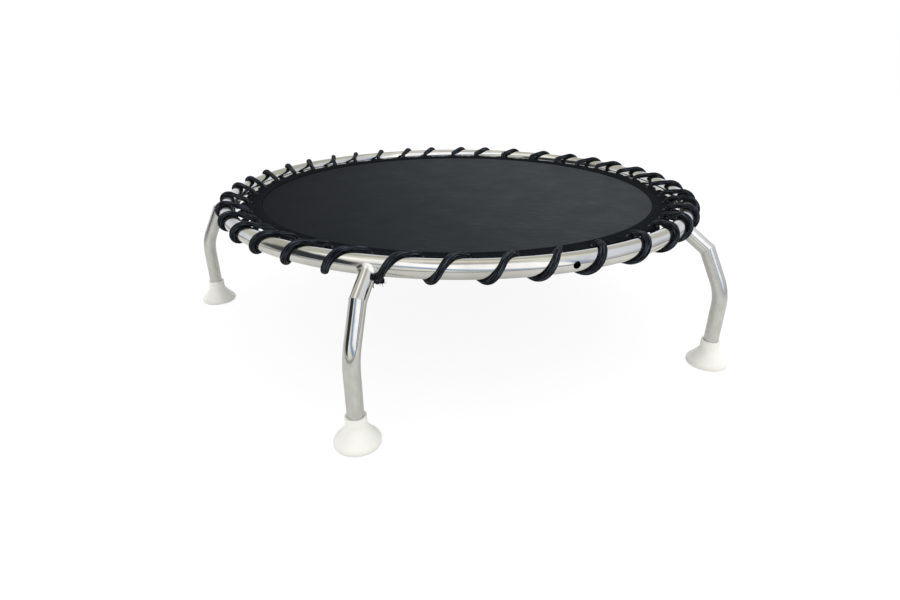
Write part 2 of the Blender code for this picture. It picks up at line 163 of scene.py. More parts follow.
class TRAMPOLINE_PG_feet(bpy.types.PropertyGroup):
    """Rubber feet"""

    height: size("Height", 51.0, "Floor to the top of the collar")
    base: size("Base radius", 38.0, "Radius of the foot at its lip")
    collar_wall: size("Collar wall", 3.7, "Rubber round the leg tube")
    collar_height: size("Collar height", 16.0, "Length of the straight collar")
    lip: size("Lip height", 7.5, "Height of the upright edge above the floor")
    flare: amount("Flare", 1.35, "How the side curves: 1 is straight, more is hollow", min=1.0)
    web: size("Web", 14.0, "Floor to the end of the leg tube")
    recess: size("Recess radius", 25.0, "Radius of the hollow in the sole")
    recess_depth: size("Recess depth", 3.0, "Depth of the hollow in the sole")
    sides: count("Sides", 72, "Faces round a foot")
    rubber: colour("Rubber", "#F5F4EE", "White moulded rubber")
    scuffed: colour("Scuffed rubber", "#D9D4C6", "Rubber dulled by the pool floor")


class TRAMPOLINE_PG_mat(bpy.types.PropertyGroup):
    """Mat, border, stitching and eyelets"""

    thickness: size("Cloth thickness", 1.6, "Thickness of the woven cloth")
    cloth_edge: size("Cloth radius", 451.7, "Radius of the cloth inside the folded border")
    border_inner: size("Border inner radius", 432.0, "Radius of the border's inner edge")
    border_outer: size("Border outer radius", 473.0, "Radius of the border's folded edge")
    border_ply: size("Webbing thickness", 1.4, "Thickness of one layer of webbing")
    fold_gap: size("Fold gap", 0.3, "Space between the cloth and each layer of webbing")
    edge_pull: size("Edge pull", 0.8, "How far an eyelet pulls the border's edge outward")
    edge_slack: size("Edge slack", 8.0, "How far the edge falls back between eyelets")
    stitch_pitch: size("Stitch pitch", 5.2, "From one stitch to the next")
    stitch_length: size("Stitch length", 4.2, "Thread that shows in one stitch")
    thread: size("Thread radius", 0.45, "Radius of the sewing thread")
    eyelet_bore: size("Eyelet bore radius", 6.0, "Radius of the opening for the cord")
    eyelet_flange: size("Eyelet flange radius", 9.5, "Outer radius of the rolled flange")
    cloth: colour("Cloth", "#3A3E41", "Woven polypropylene, warp")
    cloth_weft: colour("Cloth weft", "#303437", "Woven polypropylene, weft")
    cloth_worn: colour("Worn cloth", "#424649", "Where feet have polished the yarn")
    # Painted shade: a darker cloth colour laid toward the left front in place of sheen
    cloth_painted_shade: colour("Painted shade on cloth", "#14171A", "Painted shade, darkest at the left front")
    webbing: colour("Webbing", "#121518", "Polyester webbing")
    webbing_rib: colour("Webbing ribs", "#1F2327", "Crowns of the webbing's ribs")
    stitching: colour("Thread", "#16191D", "Bonded sewing thread")
    eyelet: colour("Eyelet", "#0E0F11", "Black coated brass")
    eyelet_rubbed: colour("Rubbed eyelet", "#22211F", "Where the cord has rubbed the coating")


class TRAMPOLINE_PG_cord(bpy.types.PropertyGroup):
    """Elastic cord and its knot"""

    radius: size("Cord radius", 5.25, "Radius of the braided elastic cord")
    flattened: amount(
        "Flattened", 0.80, "Thickness of the cord on the ring, as a share of its diameter",
        min=0.3, max=1.0,
    )
    spread: amount(
        "Spread", 1.12, "Width of the cord on the ring, as a share of its diameter", min=1.0
    )
    bend: size("Bend radius", 7.5, "Radius of the cord's bend over an eyelet")
    bend_height: size("Bend height", 4.0, "Middle of that bend above the mat's mid height")
    clearance: size("Clearance", 0.1, "Space between the cord and the ring's tube")
    sweep: angle("Sweep", 7.8, "How far one turn of the cord travels round the ring")
    lead: angle("Eyelet lead", 2.8, "From a turn's top to its eyelet, round the ring")
    squeezed: size("Squeezed radius", 3.9, "Radius of the cord's ends inside the binding")
    knot_reach: size("Knot reach", 9.0, "How far each end passes beyond the binding's middle")
    twine: size("Twine radius", 0.9, "Radius of the twine that binds the two ends")
    twine_turns: count("Twine turns", 6, "Turns of the binding")
    fibres: count("Fibres", 30, "Loose fibres at each cut end")
    sides: count("Sides", 24, "Faces round the cord")
    sheath: colour("Sheath", "#08090B", "Braided polyester cover")
    sheath_crown: colour("Sheath crowns", "#15181C", "Crowns of the braid")
    # Painted highlight: colour of the light sheen streaks along the cord
    sheath_painted_sheen: colour("Painted sheath sheen", "#4C545E", "Painted sheen in light streaks along the cord")
    twine_colour: colour("Twine", "#08080A", "Waxed binding twine")


class TRAMPOLINE_PG_studio(bpy.types.PropertyGroup):
    """Camera, floor and light"""

    camera_place: vector(
        "Camera place", (0.3257, -1.2070, 0.2915), "Where the camera stands",
        subtype="TRANSLATION", unit="LENGTH",
    )
    camera_turn: vector(
        "Camera turn", tuple(math.radians(turn) for turn in (65.4487, 0.0834, 15.7781)),
        "Which way the camera points", subtype="EULER", unit="ROTATION",
    )
    lens: amount("Lens", 21.576, "Focal length for a sensor 36 mm wide", min=1.0, unit="CAMERA")
    floor_radius: size("Floor radius", 9000.0, "Radius of the studio floor")
    sweep_radius: size("Floor sheet radius", 1740.0, "Where the floor sheet ends in reflections")
    floor: colour("Floor", "#EEEEEA", "Floor as the steel reflects it")
    sky: amount("Room light", 1.0, "Level of the even light from all round", min=0.0)
    lamp_power: amount(
        "Lamp power", 15.0, "Power of the soft lamp overhead", min=0.0, unit="POWER"
    )


SETTINGS = {
    "trampoline_frame": TRAMPOLINE_PG_frame,
    "trampoline_feet": TRAMPOLINE_PG_feet,
    "trampoline_mat": TRAMPOLINE_PG_mat,
    "trampoline_cord": TRAMPOLINE_PG_cord,
    "trampoline_studio": TRAMPOLINE_PG_studio,
}


def unit(vectors):
    """The same directions, one metre long."""
    vectors = np.asarray(vectors, float)
    return vectors / np.linalg.norm(vectors, axis=-1, keepdims=True)


def square_to(vectors, aheads):
    """The part of each vector that is square to its direction ahead, one metre long."""
    return unit(vectors - aheads * (vectors * aheads).sum(axis=-1, keepdims=True))


def whole_turn(steps, offset=0.0):
    """Angles at even steps, once round."""
    return (np.arange(steps) + offset) * math.tau / steps


def outward_at(azimuth):
    """Level direction that points away from the middle, at one azimuth or each of many."""
    return np.stack((np.cos(azimuth), np.sin(azimuth), azimuth * 0), axis=-1)


def eased_share(values):
    """The values held between 0 and 1, with a soft start and end."""
    values = np.clip(values, 0.0, 1.0)
    return values * values * (3 - 2 * values)


def running_length(points, closed=False):
    """Distance travelled at each point, and back at the start if closed."""
    points = np.asarray(points, float)
    if closed:
        points = np.vstack((points, points[:1]))
    steps = np.linalg.norm(np.diff(points, axis=0), axis=1)
    return np.concatenate(([0.0], np.cumsum(steps)))


def round_values(radius, sides):
    """UV values round a tube of that radius."""
    return np.arange(sides + 1) * math.tau * radius / sides


def ring_points(centres, firsts, seconds, radii, sides):
    """A circle of points about each centre, in the plane of its two directions."""
    turn = whole_turn(sides, 0.5)[None, :, None]
    radii = np.broadcast_to(radii, len(centres))[:, None, None]
    first, second = (np.broadcast_to(way, centres.shape)[:, None] for way in (firsts, seconds))
    return centres[:, None] + radii * (first * np.cos(turn) + second * np.sin(turn))


def turned(outline, sides):
    """Rows of points about the Z axis, one for each (radius, height) of the outline."""
    outward = outward_at(whole_turn(sides))
    return [outward * radius + UPWARD * height for radius, height in outline]


def eased(corners, closed=False, steps=5):
    """Turn (across, up, easing) corners into points, each corner curved from that far off."""
    places = [Vector(corner[:2]) for corner in corners]
    points = []
    for index, (place, easing) in enumerate(zip(places, (corner[2] for corner in corners))):
        is_end = not closed and index in (0, len(corners) - 1)
        if is_end or easing == 0.0:
            points.append(tuple(place))
            continue
        start = place + (places[index - 1] - place).normalized() * easing
        end = place + (places[(index + 1) % len(places)] - place).normalized() * easing
        for step in range(steps + 1):
            share = step / steps
            points.append(tuple(start.lerp(place, share).lerp(place.lerp(end, share), share)))
    return points


class Skin:
    """Gathers rows of points into one mesh, with a UV map laid out in metres."""

    def __init__(self):
        self.points = []
        self.faces = []
        self.corners = []

    def add_rows(self, rows, across, along, joined=False, capped=False):
        """Skin rows of points, each row closed on itself, and return the skin.

        across holds a UV value for each point of a row and one more for where the row closes.
        along holds one for each row, and one more where the last row joins the first.
        """
        rows = np.asarray(rows, float)
        total, width = rows.shape[:2]
        first = len(self.points)
        self.points.extend(rows.reshape(-1, 3).tolist())
        for row in range(total if joined else total - 1):
            here = first + row * width
            there = first + (row + 1) % total * width
            low, high = along[row], along[row + 1]
            for step in range(width):
                after = (step + 1) % width
                self.faces.append((here + step, here + after, there + after, there + step))
                left, right = across[step], across[step + 1]
                self.corners += ((left, low), (right, low), (right, high), (left, high))
        if capped:
            for row in (0, total - 1):
                ring = first + row * width
                self.faces.append(tuple(range(ring, ring + width)))
                self.corners += [(across[step], along[row]) for step in range(width)]
        return self

    def add_tube(self, centres, ways, radius, sides, along, swell=1.0, **ends):
        """Skin a tube along a line; ways are two directions square to it at each point."""
        rows = ring_points(centres, *ways, radius * swell, sides)
        return self.add_rows(rows, round_values(radius, sides), along, **ends)

    def add_turned(self, outline, radius, sides, place=(0.0, 0.0, 0.0), closed=False):
        """Skin an outline turned about an upright axis, which is a loop or ends in two caps."""
        rows = np.array(turned(outline, sides)) + place
        along = running_length(outline, closed)
        return self.add_rows(rows, round_values(radius, sides), along, closed, not closed)

    def lay_flat(self):
        """Take the UV map from above instead: each point's own X and Y."""
        self.corners = [self.points[point][:2] for face in self.faces for point in face]

    def build(self, name, inner_from=None):
        """Make the mesh. Faces from inner_from on line a hollow and face into it."""
        mesh = bpy.data.meshes.new(name)
        mesh.from_pydata(self.points, [], self.faces)
        layer = mesh.uv_layers.new(name=UV_NAME)
        layer.data.foreach_set("uv", np.asarray(self.corners, np.float32).ravel())
        bm = bmesh.new()
        bm.from_mesh(mesh)
        bmesh.ops.recalc_face_normals(bm, faces=bm.faces)
        if inner_from is not None:
            bm.faces.ensure_lookup_table()
            bmesh.ops.reverse_faces(bm, faces=bm.faces[inner_from:])
        bm.to_mesh(mesh)
        bm.free()
        mesh.shade_smooth()
        mesh.set_sharp_from_angle(angle=SHARP_ANGLE)
        return mesh


def add_piece(name, mesh, finish, replaced=(), body="frame", turn=0.0, place=(0, 0, 0)):
    """Show a mesh as a piece of the trampoline; body None leaves it attached to no body."""
    if not mesh.materials:
        mesh.materials.append(finish)
    piece = bpy.data.objects.new(name, mesh)
    bpy.context.collection.objects.link(piece)
    piece.location = place
    piece.rotation_euler[2] = turn
    if body:
        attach(piece, body)
    if replaced:
        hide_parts(*replaced)
    return piece


def cut_away(target, tool_mesh):
    """Cut one mesh out of an object and keep the result as its mesh."""
    tool = bpy.data.objects.new("tool", tool_mesh)
    bpy.context.collection.objects.link(tool)
    cut = target.modifiers.new("cut", "BOOLEAN")
    cut.operation = "DIFFERENCE"
    cut.object = tool
    depsgraph = bpy.context.evaluated_depsgraph_get()
    mesh = bpy.data.meshes.new_from_object(
        target.evaluated_get(depsgraph), preserve_all_data_layers=True, depsgraph=depsgraph
    )
    target.modifiers.clear()
    target.data = mesh
    mesh.set_sharp_from_angle(angle=SHARP_ANGLE)
    bpy.data.objects.remove(tool)
    if len(mesh.polygons) == 0:
        raise RuntimeError(f"nothing is left of {target.name} after the cut")


def add_node(tree, kind, inputs=(), out=0, **options):
    """Add a node and return one of its outputs.

    kind is its type without ShaderNode. Each input takes a value or another node's output,
    and a colour has three values.
    """
    node = tree.nodes.new("ShaderNode" + kind)
    for option, value in options.items():
        setattr(node, option, value)
    for key, value in inputs.items() if isinstance(inputs, dict) else enumerate(inputs):
        socket = node.inputs[key]
        if isinstance(value, bpy.types.NodeSocket):
            tree.links.new(value, socket)
        else:
            socket.default_value = (*value, 1.0) if socket.type == "RGBA" else value
    return node.outputs[out] if node.outputs else None


def on_surface(tree, across, along):
    """The UV map, divided so that one unit is one repeat of the given real size."""
    surface = add_node(tree, "UVMap", uv_map=UV_NAME)
    return add_node(tree, "Mapping", {"Vector": surface, "Scale": (1 / across, 1 / along, 1.0)})


def patchy(tree, across, along, detail=3.0, low=0.35, high=0.65):
    """Soft patches of the given real size, spread between 0 and 1."""
    placed = on_surface(tree, across, along)
    clouds = add_node(tree, "TexNoise", {"Vector": placed, "Scale": 1.0, "Detail": detail})
    return add_node(tree, "MapRange", (clouds, low, high))


def crossed_threads(tree, across, along, diagonal=False):
    """Two sets of crossing threads: how high the surface stands, and which set is on top.

    across and along are the real widths of one thread of each set. Where diagonal is set, the
    threads run slantwise, as in a braid.
    """
    first = add_node(tree, "SeparateXYZ", [on_surface(tree, across, along)])
    sets = (first, first.node.outputs["Y"])
    if diagonal:
        sets = [add_node(tree, "Math", sets, operation=way) for way in ("ADD", "SUBTRACT")]
    phases = [add_node(tree, "Math", (way, math.pi), operation="MULTIPLY") for way in sets]
    waves = [add_node(tree, "Math", [phase], operation="SINE") for phase in phases]
    product = add_node(tree, "Math", waves, operation="MULTIPLY")
    height = add_node(tree, "Math", [product], operation="ABSOLUTE")
    crown = add_node(tree, "Math", (height, 0.5), operation="POWER")
    return crown, add_node(tree, "MapRange", (product, -0.15, 0.15))


def colours_along(tree, share, bands):
    """Colours that follow one another as the share rises, from a list of (share, colour)."""
    ramp = add_node(tree, "ValToRGB", [share])
    stops = ramp.node.color_ramp.elements
    for index, (place, tint) in enumerate(bands):
        stop = stops[index] if index < 2 else stops.new(place)
        stop.position = place
        stop.color = (*tint, 1.0)
    return ramp


def start_finish(name, metallic=0.0, ior=1.45, gloss=0.5):
    """A new material and its node tree. A metal keeps the default IOR.

    gloss below 0.5 stands for a surface of loose fibres, which hides part of its own sheen.
    """
    made = bpy.data.materials.new(name)
    made.use_nodes = True
    shader = made.node_tree.nodes["Principled BSDF"].inputs
    shader["Metallic"].default_value = metallic
    if not metallic:
        shader["IOR"].default_value = ior
        shader["Specular IOR Level"].default_value = gloss
    return made, made.node_tree


def end_finish(made, base, tints, rough, reliefs):
    """Lay (pattern, colour) tints over the base colour, and set the roughness and relief.

    The roughness is one value, or a pattern with its values at 0 and 1. Each relief is a
    pattern and how many metres high it stands.
    """
    tree = made.node_tree
    shader = tree.nodes["Principled BSDF"].inputs
    for share, tint in tints:
        base = add_node(tree, "Mix", {0: share, 6: base, 7: tint}, 2, data_type="RGBA")
    tree.links.new(base, shader["Base Color"])
    if isinstance(rough, float):
        shader["Roughness"].default_value = rough
    else:
        share, low, high = rough
        spread = add_node(tree, "MapRange", {"Value": share, "To Min": low, "To Max": high})
        tree.links.new(spread, shader["Roughness"])
    under = {}
    for height, depth in reliefs:
        inputs = {"Height": height, "Distance": depth, "Strength": 1.0}
        under = {"Normal": add_node(tree, "Bump", inputs | under)}
    tree.links.new(under["Normal"], shader["Normal"])
    return made


def polished_stainless(tubes):
    """Stainless tube, ground and then buffed along its length until it mirrors.

    The eye gets clear, slightly wavy reflections, with faint streaks from the buffing wheel.
    """
    name = "Buffed stainless steel tube"
    if name in bpy.data.materials:
        return bpy.data.materials[name]
    made, tree = start_finish(name, metallic=1.0)
    smudges = patchy(tree, 0.060, 0.090)

    # The bent tube is not quite true, which makes the reflections wander and break up
    swell = patchy(tree, 0.034, 0.050, detail=1.0, low=0.2, high=0.8)
    dents = patchy(tree, 0.007, 0.018, detail=1.0, low=0.25, high=0.75)

    # Real buffing lines are hundredths of a millimetre apart; these are drawn 0.8 mm apart
    streaks = patchy(tree, 0.0008, 0.035, detail=2.0)
    return end_finish(
        made, tubes.steel, [(smudges, tubes.steel_shade)], (smudges, 0.07, 0.20),
        [(swell, 0.00030), (dents, 0.00005), (streaks, 0.000002)],
    )


def satin_stainless(tubes, buffed):
    """Leg tube: satin all over, or buffed above the bend like the ring and satin below it.

    The eye gets a soft, faintly mottled grey, and clear reflections where the tube is buffed.
    """
    name = "Part buffed stainless steel tube" if buffed else "Satin stainless steel tube"
    made, tree = start_finish(name, metallic=1.0)
    smudges = patchy(tree, 0.008, 0.020, low=0.2, high=0.8)
    down = add_node(tree, "SeparateXYZ", [add_node(tree, "UVMap", uv_map=UV_NAME)], "Y")
    run = tubes.splay_reach / math.sin(tubes.splay) if buffed else 0.0
    dulling = add_node(
        tree, "MapRange", (down, run * 0.7, run * 1.4 + 0.001), interpolation_type="SMOOTHSTEP"
    )

    # The polisher's streaks are drawn 0.8 mm apart here too
    streaks = patchy(tree, 0.0008, 0.030, detail=2.0)
    grain = add_node(tree, "Math", (streaks, 0.06, dulling), operation="MULTIPLY_ADD")
    swell = patchy(tree, 0.030, 0.045, detail=1.0, low=0.2, high=0.8)
    mottle = patchy(tree, 0.004, 0.009, detail=2.0)
    return end_finish(
        made, tubes.steel, [(smudges, tubes.steel_shade)], (grain, 0.06, 0.24),
        [(swell, 0.00016), (mottle, 0.000012), (streaks, 0.000003)],
    )


def buffed_weld(tubes):
    """Weld bead, ground back and buffed, with the straw tint that heat leaves.

    The eye gets a smooth sweep that is a little duller and warmer than the tubes beside it.
    """
    name = "Buffed stainless weld"
    if name in bpy.data.materials:
        return bpy.data.materials[name]
    made, tree = start_finish(name, metallic=1.0)
    heated = patchy(tree, 0.004, 0.012, low=0.5, high=0.8)
    pits = patchy(tree, 0.0011, 0.0011)
    return end_finish(
        made, tubes.steel, [(heated, tubes.weld_tint)], (pits, 0.18, 0.30), [(pits, 0.00001)]
    )


def white_rubber(feet):
    """Moulded white rubber from a lightly sparked mould.

    The eye gets a soft matt white with a fine grain, dulled and scuffed along the lip.
    """
    made, tree = start_finish("Moulded white rubber", ior=1.52)
    height = add_node(tree, "SeparateXYZ", [add_node(tree, "TexCoord", out="Object")], "Z")
    low_down = add_node(
        tree, "MapRange", {0: height, 1: feet.lip * 1.3, 2: 0.0, "To Max": 0.75},
        interpolation_type="SMOOTHSTEP",
    )
    scuffs = patchy(tree, 0.0030, 0.0022, detail=4.0, low=0.30, high=0.75)
    worn = add_node(tree, "Math", (low_down, scuffs), operation="MULTIPLY")

    # The mould's grain is about 0.2 mm across; it is drawn 0.9 mm across so that it shows
    grain = patchy(tree, 0.0009, 0.0009, detail=2.0)
    return end_finish(
        made, feet.rubber, [(worn, feet.scuffed)], (scuffs, 0.28, 0.38), [(grain, 0.000010)]
    )


def woven_polypropylene(mat):
    """Trampoline cloth: flat polypropylene yarn in a tight plain weave, heat set.

    The eye gets a dark grey field with a fine grain, and a dull plastic gloss at low angles.
    """
    made, tree = start_finish("Woven polypropylene cloth", ior=1.49, gloss=0.01)

    # The yarn is about 1 mm wide; it is drawn 2.4 mm wide so that the weave shows
    crown, on_top = crossed_threads(tree, 0.0024, 0.0024)
    wear = patchy(tree, 0.090, 0.090, detail=4.0, low=0.3, high=0.75)

    # A thread's slubs are 30 mm long and 1 mm wide; they are drawn 7 mm wide so that they show
    slubs = patchy(tree, 0.030, 0.0070, detail=4.0, low=0.30, high=0.80)

    # Painted shade: the cloth is painted darker toward the left front, standing in for the sheen
    # that lightens it toward the right and back
    place = add_node(tree, "TexCoord", out="Object")
    toward_sheen = (place, (0.90, 0.44, 0.0))
    toward_sheen = add_node(tree, "VectorMath", toward_sheen, "Value", operation="DOT_PRODUCT")
    painted_shade_share = add_node(
        tree, "MapRange", (toward_sheen, 0.33, -0.55), interpolation_type="SMOOTHSTEP"
    )
    tints = (
        (on_top, mat.cloth), (wear, mat.cloth_worn), (slubs, mat.cloth_weft),
        (painted_shade_share, mat.cloth_painted_shade),
    )
    return end_finish(made, mat.cloth_weft, tints, (crown, 0.74, 0.56), [(crown, 0.00022)])


def border_webbing(mat):
    """Flat polyester webbing, folded over the cloth's edge and sewn.

    The eye gets close ribs along the border, near black, with a matt, slightly hairy surface.
    """
    made, tree = start_finish("Polyester webbing", ior=1.54, gloss=0.005)

    # Ribs of 1.2 mm are drawn 1.8 mm wide so that they show
    crown, on_top = crossed_threads(tree, 0.0018, 0.0036)

    # The pull of the cord draws the webbing into faint folds that run from eyelet to cloth; their
    # shade is painted as darker streaks
    painted_fold_shade = patchy(tree, 0.050, 0.006)
    tints = ((on_top, mat.webbing_rib), (painted_fold_shade, mat.webbing))
    return end_finish(made, mat.webbing, tints, (crown, 0.88, 0.72), [(crown, 0.00028)])


def sewing_thread(mat):
    """Bonded polyester thread, which gives a small smooth glint on each stitch."""
    made, tree = start_finish("Bonded polyester thread", ior=1.54, gloss=0.03)
    twist = patchy(tree, 0.0006, 0.0011, detail=1.0)
    return end_finish(made, mat.webbing, [(twist, mat.stitching)], 0.45, [(twist, 0.00012)])


def coated_brass(mat):
    """Pressed brass eyelet with a black coating, rubbed thin on the edge that the cord touches.

    The eye gets a smooth dark ring with a dull glint.
    """
    made, tree = start_finish("Black coated brass eyelet", ior=1.5, gloss=0.06)
    rubbed = patchy(tree, 0.0016, 0.0022, detail=4.0, low=0.5, high=0.8)
    pores = patchy(tree, 0.0009, 0.0009)
    return end_finish(
        made, mat.eyelet, [(rubbed, mat.eyelet_rubbed)], (rubbed, 0.36, 0.52), [(pores, 0.00003)]
    )


def braided_sheath(cord):
    """Polyester yarn braided tightly round a bundle of stretched rubber strands.

    The eye gets small slanted crowns, and fine streaks of painted sheen along a dark cord.
    """
    made, tree = start_finish("Braided elastic cord", ior=1.54, gloss=0.03)

    # Eleven strands each way fit the cord's girth exactly, and each is 3 mm wide
    crown, on_top = crossed_threads(tree, math.tau * cord.radius / 11, 0.0042, diagonal=True)
    # Painted highlight: light streaks of sheen laid into the cord's colour
    painted_sheen = patchy(tree, 0.0014, 0.0220, detail=2.0, low=0.48, high=0.68)
    tints = ((on_top, cord.sheath_crown), (painted_sheen, cord.sheath_painted_sheen))
    return end_finish(made, cord.sheath, tints, (crown, 0.72, 0.50), [(crown, 0.00035)])


def waxed_twine(cord):
    """Waxed polyester twine, laid up from strands that show as a slanted ripple."""
    made, tree = start_finish("Waxed polyester twine", ior=1.54, gloss=0.04)
    crown, on_top = crossed_threads(tree, math.tau * cord.twine / 3, 0.0016, diagonal=True)
    tints = [(on_top, cord.sheath_crown)]
    return end_finish(made, cord.twine_colour, tints, (crown, 0.62, 0.45), [(crown, 0.00020)])


def beside_rim(tubes, inward=0.0, height=0.0, azimuth=0.0):
    """A point given by its distance inward of the ring's tube middle and height above it."""
    return outward_at(azimuth) * (tubes.rim_circle - inward) + UPWARD * (RIM_Z + height)


def on_rim_circle(tubes, points):
    """The spot on the middle line of the ring's tube that is nearest to each point."""
    return unit(points * (1.0, 1.0, 0.0)) * tubes.rim_circle + UPWARD * RIM_Z


def slanting(below_level):
    """Direction of a leg at azimuth zero that points outward and that far below level."""
    return np.array((math.cos(below_level), 0.0, -math.sin(below_level)))


def section(ahead, radius, sides):
    """Points round the axis of a tube that lies in the XZ plane."""
    turn = whole_turn(sides, 0.5)[:, None]
    return radius * (SIDEWAYS * np.cos(turn) + np.cross(ahead, SIDEWAYS) * np.sin(turn))


def mitre(tubes):
    """Middle and normal of the plane where stub and leg meet, for a leg at azimuth zero."""
    stub = slanting(tubes.stub_drop)
    middle = beside_rim(tubes) + stub * tubes.stub_reach
    return middle, unit(stub + slanting(RIGHT_ANGLE - tubes.splay))


def saddle_curve(tubes, tube_radius, sides):
    """Points round the stub's axis, and how far from each the stub leaves the ring's tube."""
    along = slanting(tubes.stub_drop)
    starts = beside_rim(tubes) + section(along, tube_radius, sides)
    near = np.zeros(sides)
    far = np.full(sides, 2 * tubes.rim_tube)
    for _ in range(40):
        middle = (near + far) / 2
        tried = starts + along * middle[:, None]
        depth = np.linalg.norm(tried - on_rim_circle(tubes, tried), axis=1)
        near = np.where(depth < tubes.rim_tube, middle, near)
        far = np.where(depth < tubes.rim_tube, far, middle)
    return starts, near


def stub_mesh(tubes):
    """Short tube from its saddle on the ring to the mitre."""
    middle, normal = mitre(tubes)
    along = slanting(tubes.stub_drop)
    shells = []
    for radius in (tubes.leg_tube, tubes.leg_tube - tubes.leg_wall):
        starts, leave = saddle_curve(tubes, radius, tubes.leg_sides)
        reach = ((middle - starts) @ normal) / (along @ normal)
        shares = np.linspace(0.0, 1.0, 9)[:, None]
        shells.append(starts + (leave + (reach - leave) * shares)[:, :, None] * along)
    rows = np.concatenate((shells[0], shells[1][::-1]))
    across = round_values(tubes.leg_tube, tubes.leg_sides)
    down = running_length(rows[:, 0], closed=True)
    return Skin().add_rows(rows, across, down, joined=True).build("leg_stub")


def saddle_weld_mesh(tubes):
    """Weld that sweeps in a hollow curve from the ring's tube up to the stub's wall."""
    columns = 192
    starts, leave = saddle_curve(tubes, tubes.leg_tube, columns)
    along = slanting(tubes.stub_drop)
    away = section(along, 1.0, columns)
    joint = starts + along * leave[:, None]

    # The weld's reach wavers by these shares, that many times round
    turn = whole_turn(columns)[:, None]
    wavers = sum(share * np.sin(times * turn) for share, times in ((0.05, 5), (0.03, 13)))
    reach = tubes.saddle_weld * (1 + wavers)

    # Both edges end just under the tubes' skins; the curve is pulled toward the joint
    sunk, pulled_to, root = 0.00015, 0.0003, -0.0006
    on_ring = joint + away * reach
    circle = on_rim_circle(tubes, on_ring)
    on_ring = circle + unit(on_ring - circle) * (tubes.rim_tube - sunk)
    on_stub = joint + along * reach - away * sunk
    pull = joint + (away + along) * pulled_to
    rows = [joint + (away + along) * root]
    for share in np.linspace(0.0, 1.0, 11):
        rest = 1 - share
        rows.append(on_ring * rest ** 2 + pull * 2 * share * rest + on_stub * share ** 2)
    rows = np.array(rows).transpose(1, 0, 2)
    across, around = (running_length(line, closed=True) for line in (rows[0], joint))
    return Skin().add_rows(rows, across, around, joined=True).build("saddle_weld")


def tube_rows(centres, aheads, normals, radius, sides):
    """Sections of a tube in the XZ plane, each drawn where its own plane cuts the tube."""
    rows = []
    for centre, ahead, normal in zip(centres, aheads, normals):
        spots = section(ahead, radius, sides)
        rows.append(centre + spots - np.outer(spots @ normal / (ahead @ normal), ahead))
    return np.array(rows)


def mitre_bead_mesh(tubes):
    """Weld bead round the mitre: a low tube whose ripples follow the welder's steps."""
    columns, ripples, ripple_depth = 144, 34, 0.05
    middle, normal = mitre(tubes)
    splay = slanting(RIGHT_ANGLE - tubes.splay)
    centres = tube_rows([middle], [splay], [normal], tubes.leg_tube, columns)[0]
    ahead = unit(np.roll(centres, -1, axis=0) - np.roll(centres, 1, axis=0))
    outward = square_to(centres - middle, ahead)
    swell = 1 + ripple_depth * np.sin(whole_turn(columns) * ripples)
    ways, around = (outward, np.cross(ahead, outward)), running_length(centres, closed=True)
    skin = Skin().add_tube(centres, ways, tubes.mitre_bead, 12, around, swell, joined=True)
    return skin.build("mitre_weld")


def leg_mesh(tubes, foot_web):
    """Leg tube from the mitre, down the splayed run and round the bend into the foot."""
    middle, normal = mitre(tubes)
    splay = slanting(RIGHT_ANGLE - tubes.splay)
    knee = middle + splay * (tubes.splay_reach / splay[0])
    tangent = tubes.bend_radius * math.tan(tubes.splay / 2)
    hub = np.array((FOOT_CIRCLE_RADIUS - tubes.bend_radius, 0.0, knee[2] - tangent))
    centres, aheads = [middle], [splay]
    for turn in np.linspace(tubes.splay, 0.0, 17):
        centres.append(hub + tubes.bend_radius * slanting(-turn))
        aheads.append(slanting(RIGHT_ANGLE - turn))
    for height in np.linspace(centres[-1][2], FLOOR_Z + foot_web, 7)[1:]:
        centres.append(np.array((FOOT_CIRCLE_RADIUS, 0.0, height)))
        aheads.append(-UPWARD)
    shells = []
    for radius in (tubes.leg_tube, tubes.leg_tube - tubes.leg_wall):
        shells.append(tube_rows(centres, aheads, [normal] + aheads[1:], radius, tubes.leg_sides))
    run = running_length(centres)
    back = run[-1] + tubes.leg_wall + running_length(centres[::-1])
    down = np.concatenate((run, back, [back[-1] + tubes.leg_wall]))
    rows = np.concatenate((shells[0], shells[1][::-1]))
    across = round_values(tubes.leg_tube, tubes.leg_sides)
    return Skin().add_rows(rows, across, down, joined=True).build("leg_tube")


class TRAMPOLINE_OT_rim(bpy.types.Operator):
    """Bend the ring from polished tube and drill its drain hole"""

    bl_idname = "trampoline.rim"
    bl_label = "Ring"

    def execute(self, context):
        tubes = context.scene.trampoline_frame
        outward = outward_at(whole_turn(tubes.rim_steps))
        ways, centres = (outward, UPWARD), outward * tubes.rim_circle + UPWARD * RIM_Z
        around = round_values(tubes.rim_circle, tubes.rim_steps)
        skin = Skin()
        for radius in (tubes.rim_tube, tubes.rim_tube - tubes.rim_wall):
            skin.add_tube(centres, ways, radius, tubes.rim_sides, around, joined=True)
        mesh = skin.build("rim", inner_from=len(skin.faces) // 2)
        rim = add_piece("rim", mesh, polished_stainless(tubes), ["rim_ring"])

        # The hole lies halfway between the first two legs, and its edge is lightly broken
        hole, depth = tubes.drain_hole / 2, tubes.rim_wall * 3
        edge_depth, edge_width, above = 0.0009, 0.0022, -0.0012
        outline = (
            (FAN_RADIUS, depth), (hole, depth), (hole, edge_depth), (hole + edge_width, above),
            (FAN_RADIUS, above),
        )
        drill = Skin().add_turned(outline, hole, 40).build("drill")
        azimuth = LEG_AZIMUTHS[0] + math.tau / len(LEG_AZIMUTHS) / 2
        lying = Matrix.Rotation(-RIGHT_ANGLE, 4, "Y")
        placed = Matrix.Translation(beside_rim(tubes, -tubes.rim_tube)) @ lying
        drill.transform(Matrix.Rotation(azimuth, 4, "Z") @ placed)
        cut_away(rim, drill)
        return {"FINISHED"}


